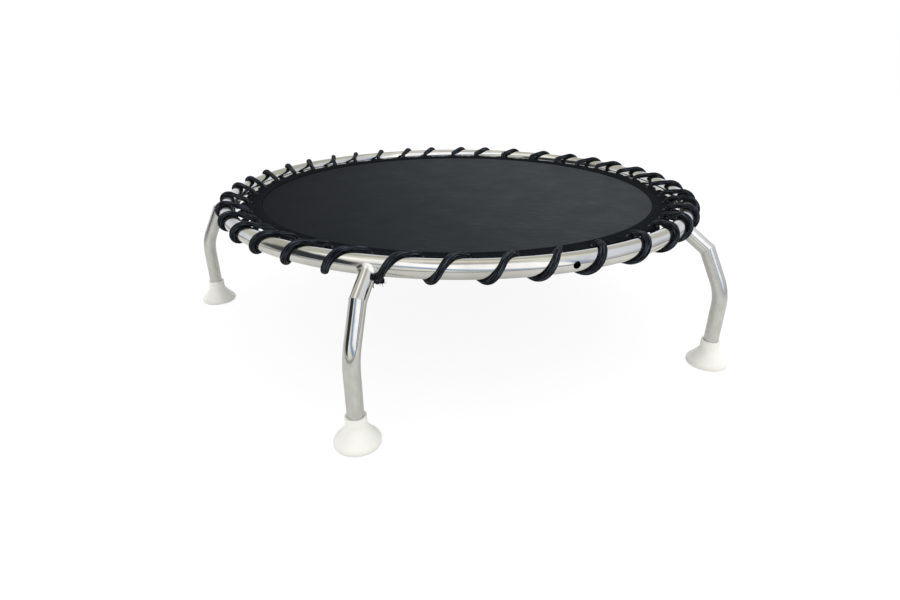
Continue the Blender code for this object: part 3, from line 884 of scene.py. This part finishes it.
class TRAMPOLINE_OT_stubs(bpy.types.Operator):
    """Weld a short stub under the ring for every leg"""

    bl_idname = "trampoline.stubs"
    bl_label = "Stubs and saddle welds"

    def execute(self, context):
        tubes = context.scene.trampoline_frame
        stub, sweep = stub_mesh(tubes), saddle_weld_mesh(tubes)
        steel, weld = polished_stainless(tubes), buffed_weld(tubes)
        for number, azimuth in enumerate(LEG_AZIMUTHS, 1):
            node = f"leg_stub_{number}"
            add_piece(f"stub_{number}", stub, steel, [node], turn=azimuth)
            add_piece(f"saddle_weld_{number}", sweep, weld, turn=azimuth)
        return {"FINISHED"}


class TRAMPOLINE_OT_legs(bpy.types.Operator):
    """Weld a bent leg to the mitred end of every stub"""

    bl_idname = "trampoline.legs"
    bl_label = "Legs and mitre welds"

    def execute(self, context):
        tubes = context.scene.trampoline_frame
        leg = leg_mesh(tubes, context.scene.trampoline_feet.web)
        bead, weld = mitre_bead_mesh(tubes), buffed_weld(tubes)

        # Only the first leg has been buffed down to its bend
        kinds = [(leg, satin_stainless(tubes, True))]
        kinds += [(leg.copy(), satin_stainless(tubes, False))] * (len(LEG_AZIMUTHS) - 1)
        for number, (azimuth, (mesh, steel)) in enumerate(zip(LEG_AZIMUTHS, kinds), 1):
            node = f"leg_tube_{number}"
            add_piece(f"leg_{number}", mesh, steel, [node], turn=azimuth)
            add_piece(f"mitre_weld_{number}", bead, weld, turn=azimuth)
        return {"FINISHED"}


class TRAMPOLINE_OT_feet(bpy.types.Operator):
    """Push a moulded rubber foot on every leg"""

    bl_idname = "trampoline.feet"
    bl_label = "Feet"

    def execute(self, context):
        feet = context.scene.trampoline_feet
        socket = context.scene.trampoline_frame.leg_tube + 0.0001
        collar = socket + feet.collar_wall
        collar_foot = feet.height - feet.collar_height
        corners = [
            (FAN_RADIUS, feet.recess_depth, 0.0),
            (feet.recess - feet.recess_depth, feet.recess_depth, 0.0010),
            (feet.recess, 0.0, 0.0008),
            (feet.base, 0.0, 0.0030),
            (feet.base, feet.lip, 0.0040),
        ]

        # The side runs almost straight up from the lip and curves into the collar
        for share in np.linspace(1.0, 0.0, 15)[1:]:
            radius = collar + (feet.base - collar) * share ** feet.flare
            corners.append((radius, collar_foot - (collar_foot - feet.lip) * share, 0.0))
        corners += [
            (collar, feet.height, 0.0009),
            (socket, feet.height, 0.0005),
            (socket, feet.web, 0.0),
            (FAN_RADIUS, feet.web, 0.0),
        ]
        mesh = Skin().add_turned(eased(corners), feet.base, feet.sides).build("foot")
        rubber = white_rubber(feet)
        for number, azimuth in enumerate(LEG_AZIMUTHS, 1):
            add_piece(
                f"rubber_foot_{number}", mesh, rubber, [f"foot_{number}"],
                turn=azimuth, place=outward_at(azimuth) * FOOT_CIRCLE_RADIUS + UPWARD * FLOOR_Z,
            )
        return {"FINISHED"}


def eyelet_nearness(turn, spread):
    """How near each azimuth is to an eyelet: 1 beside it, falling to 0 over the spread."""
    near = np.zeros(len(turn))
    for azimuth in EYELET_AZIMUTHS:
        apart = (turn - azimuth + math.pi) % math.tau - math.pi
        near = np.maximum(near, np.exp(-(apart * EYELET_CIRCLE_RADIUS / spread) ** 2))
    return near


class TRAMPOLINE_OT_mat(bpy.types.Operator):
    """Stretch the woven cloth"""

    bl_idname = "trampoline.mat"
    bl_label = "Mat"

    def execute(self, context):
        mat = context.scene.trampoline_mat
        turn = whole_turn(240)
        pulled = eyelet_nearness(turn, 0.016)

        # The cloth is taut: it swells by a fraction of a millimetre between the eyelets
        pull_begins, pull_over, fade_begins = 0.30, 0.13, 0.40
        swell_height, pull_height, swells_per_metre = 0.00022, 0.00012, 7.0
        top = []
        for radius in (FAN_RADIUS, *np.linspace(0.02, mat.cloth_edge, 48)):
            row = outward_at(turn) * radius
            swell = np.array([noise.noise(Vector(point)) for point in row * swells_per_metre])
            fade = 1 - np.clip((radius - fade_begins) / (mat.border_inner - fade_begins), 0, 1)
            pull = max(0.0, (radius - pull_begins) / pull_over) * fade
            row[:, 2] = mat.thickness / 2 + RIM_Z + swell_height * swell * fade
            row[:, 2] += pull_height * pulled * pull
            top.append(row)
        rows = top + [row - UPWARD * mat.thickness for row in top[::-1]]
        skin = Skin().add_rows(rows, np.zeros(len(turn) + 1), np.zeros(len(rows)), capped=True)
        skin.lay_flat()
        mesh, cloth = skin.build("jump_cloth"), woven_polypropylene(mat)
        piece = add_piece("jump_cloth", mesh, cloth, ["jump_mat"], "mat")
        return {"FINISHED"}


def stitch_radii(mat):
    """The border is sewn to the cloth by two rows, 4.5 and 10.5 mm from its inner edge."""
    return [mat.border_inner + inset for inset in (0.0045, 0.0105)]


def border_outline(mat):
    """Section of the folded webbing, with points added along its flat faces."""
    inner, outer = mat.border_inner, mat.border_outer
    slot = mat.thickness / 2 + mat.fold_gap
    half = slot + mat.border_ply
    fold = mat.cloth_edge + mat.fold_gap
    outline = eased(
        [
            (inner, slot, 0.0003), (inner, half, 0.0006), (outer, half, 0.0022),
            (outer, -half, 0.0022), (inner, -half, 0.0006), (inner, -slot, 0.0003),
            (fold, -slot, 0.0), (fold, slot, 0.0),
        ],
        closed=True,
    )
    step = 0.0015
    fine = []
    for start, end in zip(outline, outline[1:] + outline[:1]):
        parts = max(1, round(math.dist(start, end) / step))
        for part in range(parts):
            fine.append([a + (b - a) * part / parts for a, b in zip(start, end)])
    return np.array(fine)


def border_rows(mat, outline, columns):
    """Sections of the folded webbing, dipped at its stitches and puckered between eyelets."""
    level, height = outline.T
    slot = mat.thickness / 2 + mat.fold_gap
    past_fold, stitch_width, crowded_from, crowded_over = 0.0015, 0.0012, 0.012, 0.012
    pulled_over, tight_over = 0.0165, 0.012
    dip_depth, pucker_height, wave_height = 0.00030, 0.0009, 0.0008
    begins = mat.cloth_edge + mat.fold_gap + past_fold
    skin_share = np.clip((np.abs(height) - slot) / mat.border_ply, 0, 1) * np.sign(height)
    toward_edge = eased_share((level - begins) / (mat.border_outer - begins))
    crowd = np.clip((level - mat.border_inner - crowded_from) / crowded_over, 0, 1)
    dip = sum(np.exp(-((level - row) / stitch_width) ** 2) for row in stitch_radii(mat))
    turn = whole_turn(columns)
    pull = eyelet_nearness(turn, pulled_over) * (mat.edge_pull + mat.edge_slack) - mat.edge_slack
    slack = 1 - eyelet_nearness(turn, tight_over)
    rows = []
    for index, outward in enumerate(outward_at(turn)):
        pucker = noise.noise(Vector(outward + UPWARD * 0.3) * 55.0)
        wave = noise.noise(Vector(outward + UPWARD * 7.3) * 30.0)
        loose = slack[index] * crowd
        rise = pucker_height * loose * (0.4 + pucker) - dip_depth * dip
        lift = wave_height * loose * wave * np.abs(skin_share)
        row = outward * (level + toward_edge * pull[index])[:, None]
        row[:, 2] = height + RIM_Z + skin_share * rise + lift
        rows.append(row)
    return rows


class TRAMPOLINE_OT_border(bpy.types.Operator):
    """Fold the webbing over the mat's edge, sew it down and punch it for the eyelets"""

    bl_idname = "trampoline.border"
    bl_label = "Border and stitching"

    def execute(self, context):
        mat = context.scene.trampoline_mat
        columns = 1216
        outline = border_outline(mat)
        across, around = running_length(outline, True), round_values(mat.border_outer, columns)
        skin = Skin().add_rows(border_rows(mat, outline, columns), across, around, joined=True)
        mesh, webbing = skin.build("webbing_border"), border_webbing(mat)
        border = add_piece(
            "webbing_border", mesh, webbing, ["mat_border"], "mat"
        )
        punch = Skin()
        hole, reach = mat.eyelet_bore + 0.0013, 0.006
        outline = ((FAN_RADIUS, reach), (hole, reach), (hole, -reach), (FAN_RADIUS, -reach))
        for node in EYELETS:
            punch.add_turned(outline, hole, 20, (*box_middle(node).xy, RIM_Z))
        cut_away(border, punch.build("punch"))
        self.sew(mat)
        return {"FINISHED"}

    def sew(self, mat):
        """Lay every stitch as a short raised thread whose ends go down into the webbing."""
        surface = mat.thickness / 2 + mat.fold_gap + mat.border_ply - 0.0001
        shares = np.array((0.0, 0.16, 0.5, 0.84, 1.0))
        heights = np.array((-0.0009, 0.0, 0.00015, 0.0, -0.0009)) + surface
        thread = sewing_thread(mat)
        for side, word in ((1.0, "top"), (-1.0, "bottom")):
            skin = Skin()
            for radius in stitch_radii(mat):
                for begins in whole_turn(round(math.tau * radius / mat.stitch_pitch)):
                    turn = begins + shares * mat.stitch_length / radius
                    outward = outward_at(turn)
                    middle = outward * radius + np.outer(RIM_Z + side * heights, UPWARD)
                    ways = (outward, UPWARD)
                    skin.add_tube(middle, ways, mat.thread, 6, turn * radius, capped=True)
            name = f"stitching_{word}"
            add_piece(name, skin.build(name), thread, body="mat")


class TRAMPOLINE_OT_eyelets(bpy.types.Operator):
    """Press a two-part eyelet into every hole of the border"""

    bl_idname = "trampoline.eyelets"
    bl_label = "Eyelets"

    def execute(self, context):
        mat = context.scene.trampoline_mat
        bore, flange = mat.eyelet_bore, mat.eyelet_flange
        seat = mat.thickness / 2 + mat.fold_gap + mat.border_ply + 0.00005
        barrel = bore + 0.0010
        corners = (
            (bore, seat + 0.0010, 0.0006),
            (bore + 0.0014, seat + 0.0013, 0.0010),
            (flange - 0.0006, seat + 0.0009, 0.0005),
            (flange, seat, 0.0002),
            (barrel, seat, 0.0),
            (barrel, -seat, 0.0),
            (flange - 0.0004, -seat, 0.0002),
            (flange - 0.0010, -seat - 0.0007, 0.0005),
            (bore + 0.0012, -seat - 0.0009, 0.0008),
            (bore, -seat - 0.0006, 0.0004),
        )
        outline = eased(corners, closed=True, steps=3)
        mesh = Skin().add_turned(outline, bore, 40, closed=True).build("eyelet_ring")
        brass = coated_brass(mat)
        for node in EYELETS:
            place = (*box_middle(node).xy, RIM_Z)
            add_piece(f"ring_{node}", mesh, brass, [node], "mat", place=place)
        return {"FINISHED"}


# From one section of the cord to the next, and the length over which its kinks are rounded
CORD_STEP = 0.0017
CORD_EASING = 0.0018

# How far each of the two bound ends is pressed into the other
PRESSED_IN = 0.0004


def wrap_layout(tubes, cord):
    """Radius of a turn about the tube, inward place of an eyelet's bend, and where they meet."""
    turn_radius = tubes.rim_tube + cord.clearance + cord.radius * cord.flattened
    inward = tubes.rim_circle - EYELET_CIRCLE_RADIUS - cord.bend
    reach = math.hypot(inward, cord.bend_height)
    contact = math.atan2(cord.bend_height, inward)
    return turn_radius, inward, contact + math.acos((turn_radius - cord.bend) / reach)


def cord_route(tubes, cord):
    """The whole cord from the knot through every turn and eyelet and back to the knot.

    Returns its points, and the place in that list of the middle of every eyelet.
    """
    turn_radius, inward, contact = wrap_layout(tubes, cord)
    over = []
    for turn in np.linspace(contact, 0.0, 10):
        height = cord.bend_height + cord.bend * math.sin(turn)
        over.append((inward + cord.bend * math.cos(turn), height))
    under = [(place, -height) for place, height in reversed(over)]
    route = []
    crossings = []
    for number, eyelet in enumerate(EYELET_AZIMUTHS):
        first = math.tau - contact

        # The first turn starts at the knot, and so misses the stretch under the tube
        if number == 0:
            first -= (math.tau - 2 * contact) / 6
        for turn in np.linspace(first, contact, 40):
            azimuth = eyelet - cord.lead - cord.sweep * (turn - math.pi / 2) / math.tau
            place, height = turn_radius * math.cos(turn), turn_radius * math.sin(turn)
            route.append(beside_rim(tubes, place, height, azimuth))
        crossings.append(len(route) + len(over))
        for place, height in (*over, (inward + cord.bend, 0.0), *under):
            route.append(beside_rim(tubes, place, height, eyelet))
    return route, crossings


def knot_directions(tubes, route):
    """Along the two bound ends, from one to the other, and away from the ring's tube."""
    along = unit(route[0] - route[-1])
    away = square_to(KNOT_MIDDLE - on_rim_circle(tubes, KNOT_MIDDLE), along)
    return along, np.cross(away, along), away


def smoothed(points, step, spread):
    """Points an even step apart along a line, with its kinks rounded over the spread."""
    points = np.asarray(points)
    run = running_length(points)
    places = np.linspace(0.0, run[-1], round(run[-1] / step) + 1)
    even = np.stack([np.interp(places, run, points[:, axis]) for axis in range(3)], axis=1)
    reach = round(3 * spread / step)
    weights = np.exp(-0.5 * (np.arange(-reach, reach + 1) * step / spread) ** 2)
    weights /= weights.sum()
    before = 2 * even[0] - even[reach:0:-1]
    after = 2 * even[-1] - even[-2:-reach - 2:-1]
    padded = np.concatenate((before, even, after))
    columns = [np.convolve(padded[:, axis], weights, mode="valid") for axis in range(3)]
    return np.stack(columns, axis=1), run, places


def carried_frames(points):
    """Two directions square to the line at every point, carried along without twisting."""
    aheads = unit(np.gradient(points, axis=0))
    firsts = [np.cross(aheads[0], UPWARD)]
    for ahead in aheads:
        firsts.append(square_to(firsts[-1], ahead))
    return np.array(firsts[1:]), np.cross(aheads, firsts[1:])


def flattened_rings(tubes, cord, points, rings):
    """Press the cord's sections flatter and wider where they lie on the ring's tube.

    The side that touches the steel becomes flat, and the other stays round.
    """
    still_round, eases_over = 0.0004, 0.005
    away = points - on_rim_circle(tubes, points)
    lift = np.linalg.norm(away, axis=1) - wrap_layout(tubes, cord)[0] - still_round
    pressed = eased_share(1 - lift / eases_over)[:, None]
    aheads = unit(np.gradient(points, axis=0))
    away = square_to(away, aheads)
    aside = np.cross(aheads, away)[:, None]
    away = away[:, None]
    offsets = rings - points[:, None]
    height, width = ((offsets * way).sum(axis=2) for way in (away, aside))
    low = np.maximum(height, -cord.flattened * cord.radius)
    shift = np.where(height < 0, low - height, height * (cord.flattened - 1)) * pressed
    wider = width * (cord.spread - 1) * pressed
    return rings + away * shift[:, :, None] + aside * wider[:, :, None]


class TRAMPOLINE_OT_cord(bpy.types.Operator):
    """Lace the elastic cord round the ring and through every eyelet"""

    bl_idname = "trampoline.cord"
    bl_label = "Cord"

    def execute(self, context):
        cord = context.scene.trampoline_cord
        tubes = context.scene.trampoline_frame
        route, crossings = cord_route(tubes, cord)
        along, beside, _ = knot_directions(tubes, route)
        side, reach = beside * (cord.squeezed - PRESSED_IN), along * cord.knot_reach
        start = [KNOT_MIDDLE + side - reach, KNOT_MIDDLE + side + reach]
        end = [KNOT_MIDDLE - side - reach, KNOT_MIDDLE - side + reach]
        points, run, places = smoothed(start + route + end, CORD_STEP, CORD_EASING)
        marks =[int(np.argmin(abs(places - run[place + len(start)]))) for place in crossings]
        marks = [0, *marks, len(points) - 1]

        # The ends are squeezed where the twine binds them, and swell again where they are cut
        radii = np.full(len(points), cord.radius)
        from_cut, squeezes = (0.0, 0.004, 0.017, 0.026), (0.75, 1.0, 1.0, 0.0)
        for travelled in (places, places[-1] - places):
            squeeze = np.interp(travelled, from_cut, squeezes)
            radii -= (cord.radius - cord.squeezed) * squeeze
        rings = ring_points(points, *carried_frames(points), radii, cord.sides)
        rings = flattened_rings(tubes, cord, points, rings)
        across = round_values(cord.radius, cord.sides)
        sheath = braided_sheath(cord)
        for number, (low, high) in enumerate(zip(marks, marks[1:]), 1):
            rows, run = rings[low:high + 1], places[low:high + 1]
            name = f"cord_turn_{number:02d}"
            mesh = Skin().add_rows(rows, across, run, capped=True).build(name)
            piece = add_piece(name, mesh, sheath, ["bungee_cord"], body=None)
            self.bend_with_mat(piece, points[low], points[high], number)
        return {"FINISHED"}

    def bend_with_mat(self, piece, start, end, number):
        """Bake a turn's place into its mesh."""
        if number == 1:
            start = end
        if number > len(EYELETS):
            end = start
        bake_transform(piece)


class TRAMPOLINE_OT_knot(bpy.types.Operator):
    """Bind the cord's two ends together with twine"""

    bl_idname = "trampoline.knot"
    bl_label = "Knot"

    def execute(self, context):
        cord = context.scene.trampoline_cord
        tubes = context.scene.trampoline_frame
        directions = knot_directions(tubes, cord_route(tubes, cord)[0])
        self.bind(cord, *directions)
        self.fray(cord, *directions)
        return {"FINISHED"}

    def bind(self, cord, along, beside, away):
        """Twine goes round both ends, and its tail hangs free."""
        turns, pitch = cord.twine_turns, 2.05 * cord.twine
        wide = 2 * cord.squeezed + cord.twine * 0.4
        high = cord.squeezed + cord.twine * 0.8
        step, easing = 0.0007, 0.0006
        points = []
        for share in np.linspace(0.0, 1.0, turns * 24 + 1):
            turn = share * turns * math.tau
            place = KNOT_MIDDLE + along * (share - 0.5) * turns * pitch
            points.append(place + beside * wide * math.cos(turn) + away * high * math.sin(turn))
        last = points[-1]
        for drop, aside in ((0.002, 0.0012), (0.005, 0.0022), (0.0085, 0.0018)):
            points.append(last - UPWARD * drop + beside * aside)
        line, _, places = smoothed(points, step, easing)
        skin = Skin().add_tube(line, carried_frames(line), cord.twine, 8, places, capped=True)
        name = "knot_binding"
        add_piece(name, skin.build(name), waxed_twine(cord), ["cord_knot"])

    def fray(self, cord, along, beside, away):
        """The cut sheath frays into loose fibres at both ends."""
        draw = np.random.default_rng(11)
        radius, tapered = 0.0003, np.linspace(0.28, 0.12, 5) / 0.3
        skin = Skin()
        for side, way in ((1.0, -1.0), (-1.0, 1.0)):
            root = KNOT_MIDDLE + side * beside * (cord.squeezed - PRESSED_IN)
            root = root + way * along * (cord.knot_reach - 0.0015)
            for _ in range(cord.fibres):
                turn, share = draw.uniform(0, math.tau), draw.uniform(0.25, 0.95)
                spread = beside * math.cos(turn) + away * math.sin(turn)
                start = root + spread * share * cord.squeezed
                length = draw.uniform(0.0030, 0.0062)
                lean = spread * draw.uniform(0.2, 0.9) + draw.normal(0.0, 0.25, 3)
                curve = []
                for step in np.linspace(0.0, 1.0, len(tapered)):
                    fall = UPWARD * -0.0012 * step * step
                    curve.append(start + length * step * (way * along + lean * step) + fall)
                curve = np.array(curve)
                ways, run = carried_frames(curve), running_length(curve)
                skin.add_tube(curve, ways, radius, 4, run, tapered, capped=True)
        add_piece("knot_fray", skin.build("knot_fray"), braided_sheath(cord))


# The surfaces of the room that the polished tubes mirror
PALE_FLOOR = "#BFBDB0"
COOL_WALL = "#CCD1D9"
WARM_WALL = "#AFAEA3"
CREAM_WALL = "#DAD9CB"
CEILING = "#B0AEAC"
SHADE = "#A7A5A8"
SCREEN = "#2D3236"
LAMP = "#FFFFFF"
GLASS = "#7A94B9"
BLUE_FRAME = "#5B70AE"

# What stands in each part of the room, from straight down to straight up in degrees
FAR_BANDS = (
    (-90.0, PALE_FLOOR), (-4.0, COOL_WALL), (16.0, COOL_WALL), (26.0, WARM_WALL),
    (54.0, WARM_WALL), (66.0, CREAM_WALL), (77.0, CREAM_WALL), (85.0, CEILING),
)
SCREEN_BANDS = (
    (-90.0, PALE_FLOOR), (-24.0, PALE_FLOOR), (-14.0, SCREEN), (31.0, SCREEN), (37.0, SHADE),
    (44.0, CREAM_WALL), (58.0, LAMP), (71.0, LAMP), (78.0, CEILING),
)
WINDOW_BANDS = (
    (-90.0, PALE_FLOOR), (-3.0, SHADE), (4.0, CREAM_WALL), (19.0, CREAM_WALL), (27.0, GLASS),
    (32.0, GLASS), (42.0, LAMP), (64.0, LAMP), (76.0, SHADE), (90.0, CEILING),
)
FRAME_BANDS = (
    (-90.0, PALE_FLOOR), (-6.0, SHADE), (0.0, BLUE_FRAME), (24.0, GLASS), (48.0, COOL_WALL),
    (66.0, COOL_WALL), (77.0, SHADE), (90.0, CEILING),
)
SIDE_BANDS = (
    (-90.0, PALE_FLOOR), (-3.0, SHADE), (16.0, COOL_WALL), (48.0, COOL_WALL), (62.0, CREAM_WALL),
    (80.0, CEILING),
)

# Each part of the room: the turn from the camera, rightward in degrees, round which it takes
# over from the part before, how many degrees that takes, and how its colours lean: they come
# lower by that share of the turn past the last value
ROOM = (
    (-180.0, 1.0, 0.0, 0.0, FAR_BANDS),
    (-98.0, 8.0, 0.70, -58.0, SCREEN_BANDS),
    (-43.0, 5.0, 0.55, -27.0, WINDOW_BANDS),
    (52.0, 4.0, 0.0, 0.0, FRAME_BANDS),
    (58.0, 6.0, 0.0, 0.0, SIDE_BANDS),
    (118.0, 16.0, 0.0, 0.0, FAR_BANDS),
)

# High up nothing leans: the lean ends at the first elevation and is whole from the second down
LEVEL_AGAIN = (50.0, 25.0)
ROOM_STRENGTH = 1.6
SOFTBOX_WIDTH = 2.2
SOFTBOX_PLACE = (0.9, 0.35, 1.9)


def room_colours(tree, camera_place):
    """Colour that the steel mirrors from each direction."""
    way = add_node(tree, "TexCoord", out="Generated")
    toward = Vector((camera_place[0], camera_place[1], 0.0)).normalized()
    rightward = Vector((-toward.y, toward.x, 0.0))
    rise = add_node(tree, "SeparateXYZ", [way], "Z")
    shares = []
    for axis in (rightward, toward):
        shares.append(add_node(tree, "VectorMath", (way, axis), "Value", operation="DOT_PRODUCT"))
    climb = add_node(tree, "Math", [rise], operation="ARCSINE")
    swing = add_node(tree, "Math", shares, operation="ARCTAN2")
    elevation = add_node(tree, "Math", [climb], operation="DEGREES")
    turn = add_node(tree, "Math", [swing], operation="DEGREES")
    leans = add_node(tree, "MapRange", (elevation, *LEVEL_AGAIN))
    colours = None
    for begins, softness, lean, listed_at, bands in ROOM:
        past = add_node(tree, "Math", (turn, lean, -lean * listed_at), operation="MULTIPLY_ADD")
        leaned = add_node(tree, "Math", (past, leans, elevation), operation="MULTIPLY_ADD")
        share = add_node(tree, "MapRange", (leaned, -90.0, 90.0))
        bands = [((degrees + 90.0) / 180.0, linear(code)) for degrees, code in bands]
        part = colours_along(tree, share, bands)
        if colours is None:
            colours = part
            continue
        reached = add_node(
            tree, "MapRange", (turn, begins - softness / 2, begins + softness / 2),
            interpolation_type="SMOOTHSTEP",
        )
        colours = add_node(tree, "Mix", {0: reached, 6: colours, 7: part}, 2, data_type="RGBA")
    return colours


class TRAMPOLINE_OT_studio(bpy.types.Operator):
    """Set up the camera, the floor and the soft light"""

    bl_idname = "trampoline.studio"
    bl_label = "Studio"

    def execute(self, context):
        studio = context.scene.trampoline_studio
        self.place_camera(context, studio)
        self.light_room(context, studio)
        self.hang_lamp(context, studio)
        self.lay_floor(context, studio)
        context.scene.view_settings.view_transform = "Standard"
        return {"FINISHED"}

    def place_camera(self, context, studio):
        camera = bpy.data.cameras.new("camera")
        camera.sensor_width = 36.0
        camera.lens = studio.lens
        stand = bpy.data.objects.new("camera", camera)
        stand.location = studio.camera_place
        stand.rotation_euler = studio.camera_turn
        context.collection.objects.link(stand)
        context.scene.camera = stand

    def light_room(self, context, studio):
        """An even room, white behind the object, with the bands that tubes reflect."""
        world = bpy.data.worlds.new("studio")
        world.use_nodes = True
        tree = world.node_tree
        tree.nodes.clear()
        bands = room_colours(tree, studio.camera_place)
        even = add_node(tree, "Background", (WHITE, studio.sky))
        mirrored = add_node(tree, "Background", (bands, ROOM_STRENGTH))
        white = add_node(tree, "Background", (WHITE, 1.0))
        ray = add_node(tree, "LightPath").node.outputs
        lit = add_node(tree, "MixShader", (ray["Is Glossy Ray"], even, mirrored))
        seen = add_node(tree, "MixShader", (ray["Is Camera Ray"], lit, white))
        add_node(tree, "OutputWorld", [seen])
        context.scene.world = world

    def hang_lamp(self, context, studio):
        """One large soft lamp overhead, toward the far right."""
        lamp = bpy.data.lights.new("softbox", "AREA")
        lamp.shape = "SQUARE"
        lamp.size = SOFTBOX_WIDTH
        lamp.energy = studio.lamp_power
        hung = bpy.data.objects.new("softbox", lamp)
        hung.location = SOFTBOX_PLACE
        hung.rotation_euler = hung.location.to_track_quat("Z", "Y").to_euler()
        hung.visible_glossy = False
        context.collection.objects.link(hung)

    def lay_floor(self, context, studio):
        """A pale floor that the camera sees as white, with the object's shadow kept."""
        made = bpy.data.materials.new("Pale floor paper")
        made.use_nodes = True
        tree = made.node_tree
        tree.nodes.clear()
        place = add_node(tree, "TexCoord", out="Object")
        reach = add_node(tree, "VectorMath", [place], "Value", operation="LENGTH")
        share = add_node(tree, "MapRange", (reach, 0.0, studio.sweep_radius * 2))

        # Round the sheet lies a darker floor, which brightens again far off
        sheet = colours_along(tree, share, (
            (0.47, studio.floor), (0.50, linear("#8B8E92")), (0.80, linear("#979A9C")),
            (0.92, linear("#E6E8E6")),
        ))
        fibres = add_node(tree, "TexNoise", {"Scale": 140.0, "Detail": 3.0})
        relief = add_node(tree, "Bump", {"Height": fibres, "Distance": 0.0002})
        shown = add_node(tree, "BsdfDiffuse", {"Color": studio.floor, "Normal": relief})
        ray = add_node(tree, "LightPath").node.outputs

        # The camera and the steel see the floor nearly white, with part of the shadows kept
        for sort, tint, kept, glow in (
            ("Is Glossy Ray", sheet, 0.50, 0.52),
            ("Is Camera Ray", WHITE, 0.13, 0.905),
        ):
            shade = add_node(
                tree, "Mix", {0: 1.0, 6: tint, 7: (kept, kept, kept)}, 2,
                data_type="RGBA", blend_type="MULTIPLY",
            )
            shadowed = add_node(tree, "BsdfDiffuse", [shade])
            lit = add_node(tree, "Emission", (tint, glow))
            both = add_node(tree, "AddShader", (shadowed, lit))
            shown = add_node(tree, "MixShader", (ray[sort], shown, both))
        add_node(tree, "OutputMaterial", [shown])
        bm = bmesh.new()
        bmesh.ops.create_circle(bm, cap_ends=True, segments=96, radius=studio.floor_radius)
        mesh = bpy.data.meshes.new("floor")
        bm.to_mesh(mesh)
        bm.free()
        mesh.materials.append(made)
        floor = bpy.data.objects.new("floor", mesh)
        floor.location.z = FLOOR_Z - 0.0002
        context.collection.objects.link(floor)


class TRAMPOLINE_PT_panel(bpy.types.Panel):
    """Lists the trampoline's pieces and their sizes"""

    bl_idname = "TRAMPOLINE_PT_panel"
    bl_label = "Water Trampoline"
    bl_space_type = "VIEW_3D"
    bl_region_type = "UI"
    bl_category = "Trampoline"

    def draw(self, context):
        for operator in OPERATORS:
            self.layout.operator(operator.bl_idname)
        for name, group in SETTINGS.items():
            box = self.layout.box()
            box.label(text=group.__doc__)
            for setting in group.__annotations__:
                box.prop(getattr(context.scene, name), setting)


OPERATORS = (
    TRAMPOLINE_OT_studio,
    TRAMPOLINE_OT_rim,
    TRAMPOLINE_OT_stubs,
    TRAMPOLINE_OT_legs,
    TRAMPOLINE_OT_feet,
    TRAMPOLINE_OT_mat,
    TRAMPOLINE_OT_border,
    TRAMPOLINE_OT_eyelets,
    TRAMPOLINE_OT_cord,
    TRAMPOLINE_OT_knot,
)
CLASSES = (*SETTINGS.values(), *OPERATORS, TRAMPOLINE_PT_panel)


def register():
    for made in CLASSES:
        bpy.utils.register_class(made)
    for name, group in SETTINGS.items():
        setattr(bpy.types.Scene, name, PointerProperty(type=group))


def unregister():
    for name in SETTINGS:
        delattr(bpy.types.Scene, name)
    for made in reversed(CLASSES):
        bpy.utils.unregister_class(made)


def main():
    register()
    for operator in OPERATORS:
        family, name = operator.bl_idname.split(".")
        getattr(getattr(bpy.ops, family), name)()


if __name__ == "__main__":
    main()
